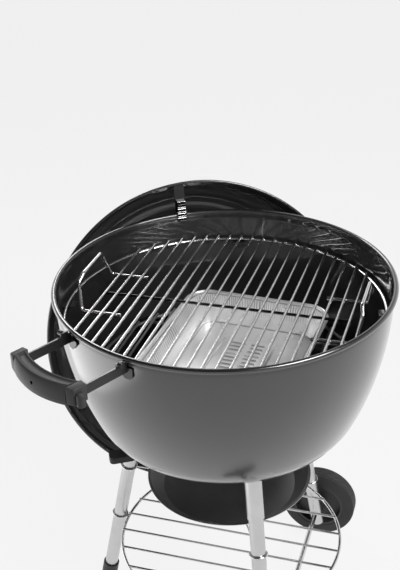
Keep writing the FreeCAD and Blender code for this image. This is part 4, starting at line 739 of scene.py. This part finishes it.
def grip_section(outer, inner, dip):
    """The grip's section (reach, height) in millimetres, with its recess sunk by a share."""
    return (
        (outer - 7.0, -30.0), (outer - 3.0, -28.5), (outer - 0.8, -24.5),
        (outer - 0.1, -18.0), (outer - 0.4, -10.0), (outer - 1.2, -4.0),
        (outer - 2.8, 1.0), (outer - 4.6, 4.0), (outer - 6.6, 5.0),
        (outer - 8.4, 4.4), (outer - 9.6, 4.0 - 1.6 * dip), (outer - 11.0, 4.0 - 2.8 * dip),
        (outer - 14.5, 4.0 - 3.4 * dip), (inner + 9.0, 4.0 - 3.2 * dip),
        (inner + 7.0, 4.0 - 2.4 * dip), (inner + 5.6, 3.9 - 0.8 * dip), (inner + 4.2, 3.2),
        (inner + 2.4, 1.2), (inner + 0.9, -2.4), (inner + 0.2, -7.0), (inner + 0.1, -16.0),
        (inner + 0.6, -23.0), (inner + 2.4, -27.6), (inner + 6.0, -29.8),
    )


def make_grip():
    """The moulded grip: a bowed bar with a lip round a shallow recess on its top."""
    where = handle_frame()
    half_length, bow = 61.0, 13.0
    outer_reach, inner_reach = 386.0, 357.0
    recess_run = 6.0
    curve = (half_length ** 2 + bow ** 2) / (2 * bow)
    rings = []
    steps = 48
    for step in range(steps + 1):
        x = half_length * (2 * step / steps - 1)
        run = min((half_length - abs(x)) / recess_run, 1.0)
        dip = 1.0 - (1.0 - run) ** 2
        bulge = math.sqrt(curve ** 2 - x ** 2) - (curve - bow)
        section = grip_section(outer_reach + bulge, inner_reach + bulge, dip)
        rings.append([where @ in_metres(x, y, z) for y, z in section])
    grip = skin("moulded_grip", rings, filled=True)
    nothing_selected()
    bpy.ops.mesh.primitive_cylinder_add(vertices=32, radius=0.003, depth=0.014)
    drill = bpy.context.object
    lying = Matrix.Rotation(math.pi / 2, 4, "X")
    front_middle = Vector((0.0, 0.399, -0.009))
    for vertex in drill.data.vertices:
        vertex.co = where @ (lying @ vertex.co + front_middle)
    combine(grip, drill, "DIFFERENCE")
    bpy.ops.object.shade_smooth_by_angle(angle=math.radians(40))
    grip.data.materials.append(FINISHES["grip_nylon"])
    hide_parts("side_handle_grip")
    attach(grip, "stand")


def make_cap(node, name, sign, post_reach, post_top):
    """A moulded end cap with its round post, rounded on every edge.

    sign says at which end of the grip; the post's reach and top are in metres."""
    where = handle_frame()
    grip_side, free_side = 61.3, 75.6
    reach, depth, corner_cut = 371.0, 29.0, 5.0
    top, bottom, top_fall = 3.6, -25.5, 1.6
    nothing_selected()
    bpy.ops.mesh.primitive_cube_add(size=1.0)
    cap = bpy.context.object
    cap.name = name
    for vertex in cap.data.vertices:
        is_free, is_upper = vertex.co.x > 0, vertex.co.z > 0
        x = free_side if is_free else grip_side
        y = reach + vertex.co.y * depth
        if is_free and vertex.co.y > 0:
            y -= corner_cut
        z = top if is_upper else bottom
        if is_free and is_upper:
            z -= top_fall
        vertex.co = in_metres(sign * x, y, z)
    rounded(cap, width=0.0022)
    post_offset, post_length = 0.0805, 0.022
    nothing_selected()
    bpy.ops.mesh.primitive_cylinder_add(vertices=40, radius=0.0070, depth=post_length)
    post = bpy.context.object
    for vertex in post.data.vertices:
        vertex.co += Vector((sign * post_offset, post_reach, post_top - post_length / 2))
    rounded(post, width=0.0028)
    neck_offset, neck_long, neck_wide, neck_tall = 0.0770, 0.008, 0.009, 0.012
    nothing_selected()
    bpy.ops.mesh.primitive_cube_add(size=1.0)
    neck = bpy.context.object
    for vertex in neck.data.vertices:
        vertex.co = Vector((
            sign * (neck_offset + vertex.co.x * neck_long), post_reach + vertex.co.y * neck_wide,
            post_top - neck_tall + vertex.co.z * neck_tall,
        ))
    combine(cap, neck, "UNION")
    combine(cap, post, "UNION")
    for vertex in cap.data.vertices:
        vertex.co = where @ vertex.co
    bpy.ops.object.mode_set(mode="EDIT")
    bpy.ops.mesh.select_all(action="SELECT")
    bpy.ops.mesh.normals_make_consistent(inside=False)
    bpy.ops.object.mode_set(mode="OBJECT")
    bpy.ops.object.shade_smooth_by_angle(angle=math.radians(40))
    cap.data.materials.append(FINISHES["grip_nylon"])
    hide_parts(node)
    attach(cap, "stand")


# ---------------------------------------------------------------- floor, air, light, camera


def seen_rays(tree):
    """1 for what the camera sees straight, in a mirror or through glass, and 0 for the rest."""
    rays = tree.nodes.new("ShaderNodeLightPath").outputs
    straight_or_mirrored = reckon(tree, "MAXIMUM", rays["Is Camera Ray"], rays["Is Glossy Ray"])
    return reckon(tree, "MAXIMUM", straight_or_mirrored, rays["Is Transmission Ray"])


def ranged(tree, value, start, finish):
    """A value spread smoothly from 0 at start to 1 at finish."""
    spread = tree.nodes.new("ShaderNodeMapRange")
    spread.interpolation_type = "SMOOTHSTEP"
    spread.inputs["From Min"].default_value = start
    spread.inputs["From Max"].default_value = finish
    tree.links.new(value, spread.inputs["Value"])
    return spread.outputs["Result"]


def show_mix(tree, share, first, second, output):
    """Shows the first shader where the share is 0 and the second where it is 1."""
    mix = tree.nodes.new("ShaderNodeMixShader")
    tree.links.new(share, mix.inputs["Fac"])
    tree.links.new(first.outputs[0], mix.inputs[1])
    tree.links.new(second.outputs[0], mix.inputs[2])
    tree.links.new(mix.outputs[0], tree.nodes[output].inputs["Surface"])


def make_floor():
    """A plain pale floor that keeps its shadows."""
    nothing_selected()
    bpy.ops.mesh.primitive_plane_add(size=40.0, location=(0.0, 0.0, 0.0))
    floor = bpy.context.object
    floor.name = "studio_floor"
    material = bpy.data.materials.new("studio_pale")
    material.use_nodes = True
    tree = material.node_tree
    shader = tree.nodes["Principled BSDF"]
    shader.inputs["Base Color"].default_value = (0.75, 0.75, 0.75, 1)
    shader.inputs["Roughness"].default_value = 0.9
    shader.inputs["Specular IOR Level"].default_value = 0.1
    pale = tree.nodes.new("ShaderNodeEmission")
    pale.inputs["Color"].default_value = (0.95, 0.95, 0.95, 1)
    share = reckon(tree, "MULTIPLY", seen_rays(tree), 0.90)
    show_mix(tree, share, shader, pale, "Material Output")
    floor.data.materials.append(material)


def make_air():
    """Even pale air, which lights the grill from low down behind it and in front of it."""
    world = bpy.data.worlds.new("studio_air")
    scene.world = world
    world.use_nodes = True
    tree = world.node_tree
    air = tree.nodes["Background"]
    air.inputs["Color"].default_value = (1, 1, 1, 1)
    where = tree.nodes.new("ShaderNodeTexCoord")
    parts = tree.nodes.new("ShaderNodeSeparateXYZ")
    tree.links.new(where.outputs["Generated"], parts.inputs["Vector"])
    x, z = parts.outputs["X"], parts.outputs["Z"]
    behind = reckon(tree, "MULTIPLY", ranged(tree, x, 0.1, -0.75), ranged(tree, z, 0.75, 0.25))
    ahead = reckon(tree, "MULTIPLY", ranged(tree, x, 0.2, 0.8), ranged(tree, z, 0.32, 0.16))
    lit = reckon(tree, "MAXIMUM", behind, ahead)
    level = reckon(tree, "MULTIPLY_ADD", lit, 0.97, 0.03)
    tree.links.new(level, air.inputs["Strength"])
    seen_air = tree.nodes.new("ShaderNodeBackground")
    seen_air.inputs["Color"].default_value = (0.86, 0.86, 0.86, 1)
    rays = tree.nodes.new("ShaderNodeLightPath").outputs
    show_mix(tree, rays["Is Camera Ray"], air, seen_air, "World Output")


def soft_light(name, where, aim, width, height, level):
    """A flat soft light with a given brightness of its face."""
    light = bpy.data.lights.new(name, "AREA")
    light.shape = "RECTANGLE"
    light.size = width
    light.size_y = height
    light.energy = level * math.pi * width * height
    lamp = bpy.data.objects.new(name, light)
    scene.collection.objects.link(lamp)
    lamp.location = where
    lamp.rotation_euler = (Vector(aim) - Vector(where)).to_track_quat("-Z", "Y").to_euler()
    lamp.visible_camera = False


def make_lights():
    """Two lamps high up, a broad one low at the bowl's side and a small one at the lid."""
    soft_light("left_light", (0.42, -0.76, 0.42), (0.32, 0.0, 0.45), 1.25, 0.9, 1.25)
    soft_light("back_light", (-1.35, -0.95, 1.95), (0.0, 0.0, 0.6), 0.9, 0.6, 9.0)
    soft_light("lid_light", (-0.275, -0.06, 0.358), (-0.40, -0.13, 0.32), 0.16, 0.016, 26.0)
    soft_light("right_light", (0.55, 1.35, 1.95), (0.05, 0.05, 0.60), 1.0, 0.8, 18.0)


def make_camera():
    """The camera, in front of the grill and above it, looking down into the open bowl."""
    data = bpy.data.cameras.new("camera")
    data.sensor_fit = "VERTICAL"
    data.sensor_height = 36.0
    data.lens = 63.95
    data.clip_end = 50.0
    camera = bpy.data.objects.new("camera", data)
    scene.collection.objects.link(camera)
    turn = Euler([math.radians(angle) for angle in (62.1716, 2.0074, 107.1907)]).to_matrix()
    camera.matrix_world = Matrix.Translation((1.47862, 0.49109, 1.50095)) @ turn.to_4x4()
    scene.camera = camera


make_bowl_skin()
make_lid_skin()
make_foil_pan()
make_grip()
make_cap("side_handle_cap_front", "moulded_cap_front", 1, 0.369, -0.010)
make_cap("side_handle_cap_rear", "moulded_cap_rear", -1, 0.3728, -0.004)
make_floor()
make_air()
make_lights()
make_camera()
scene.view_settings.view_transform = "Standard"
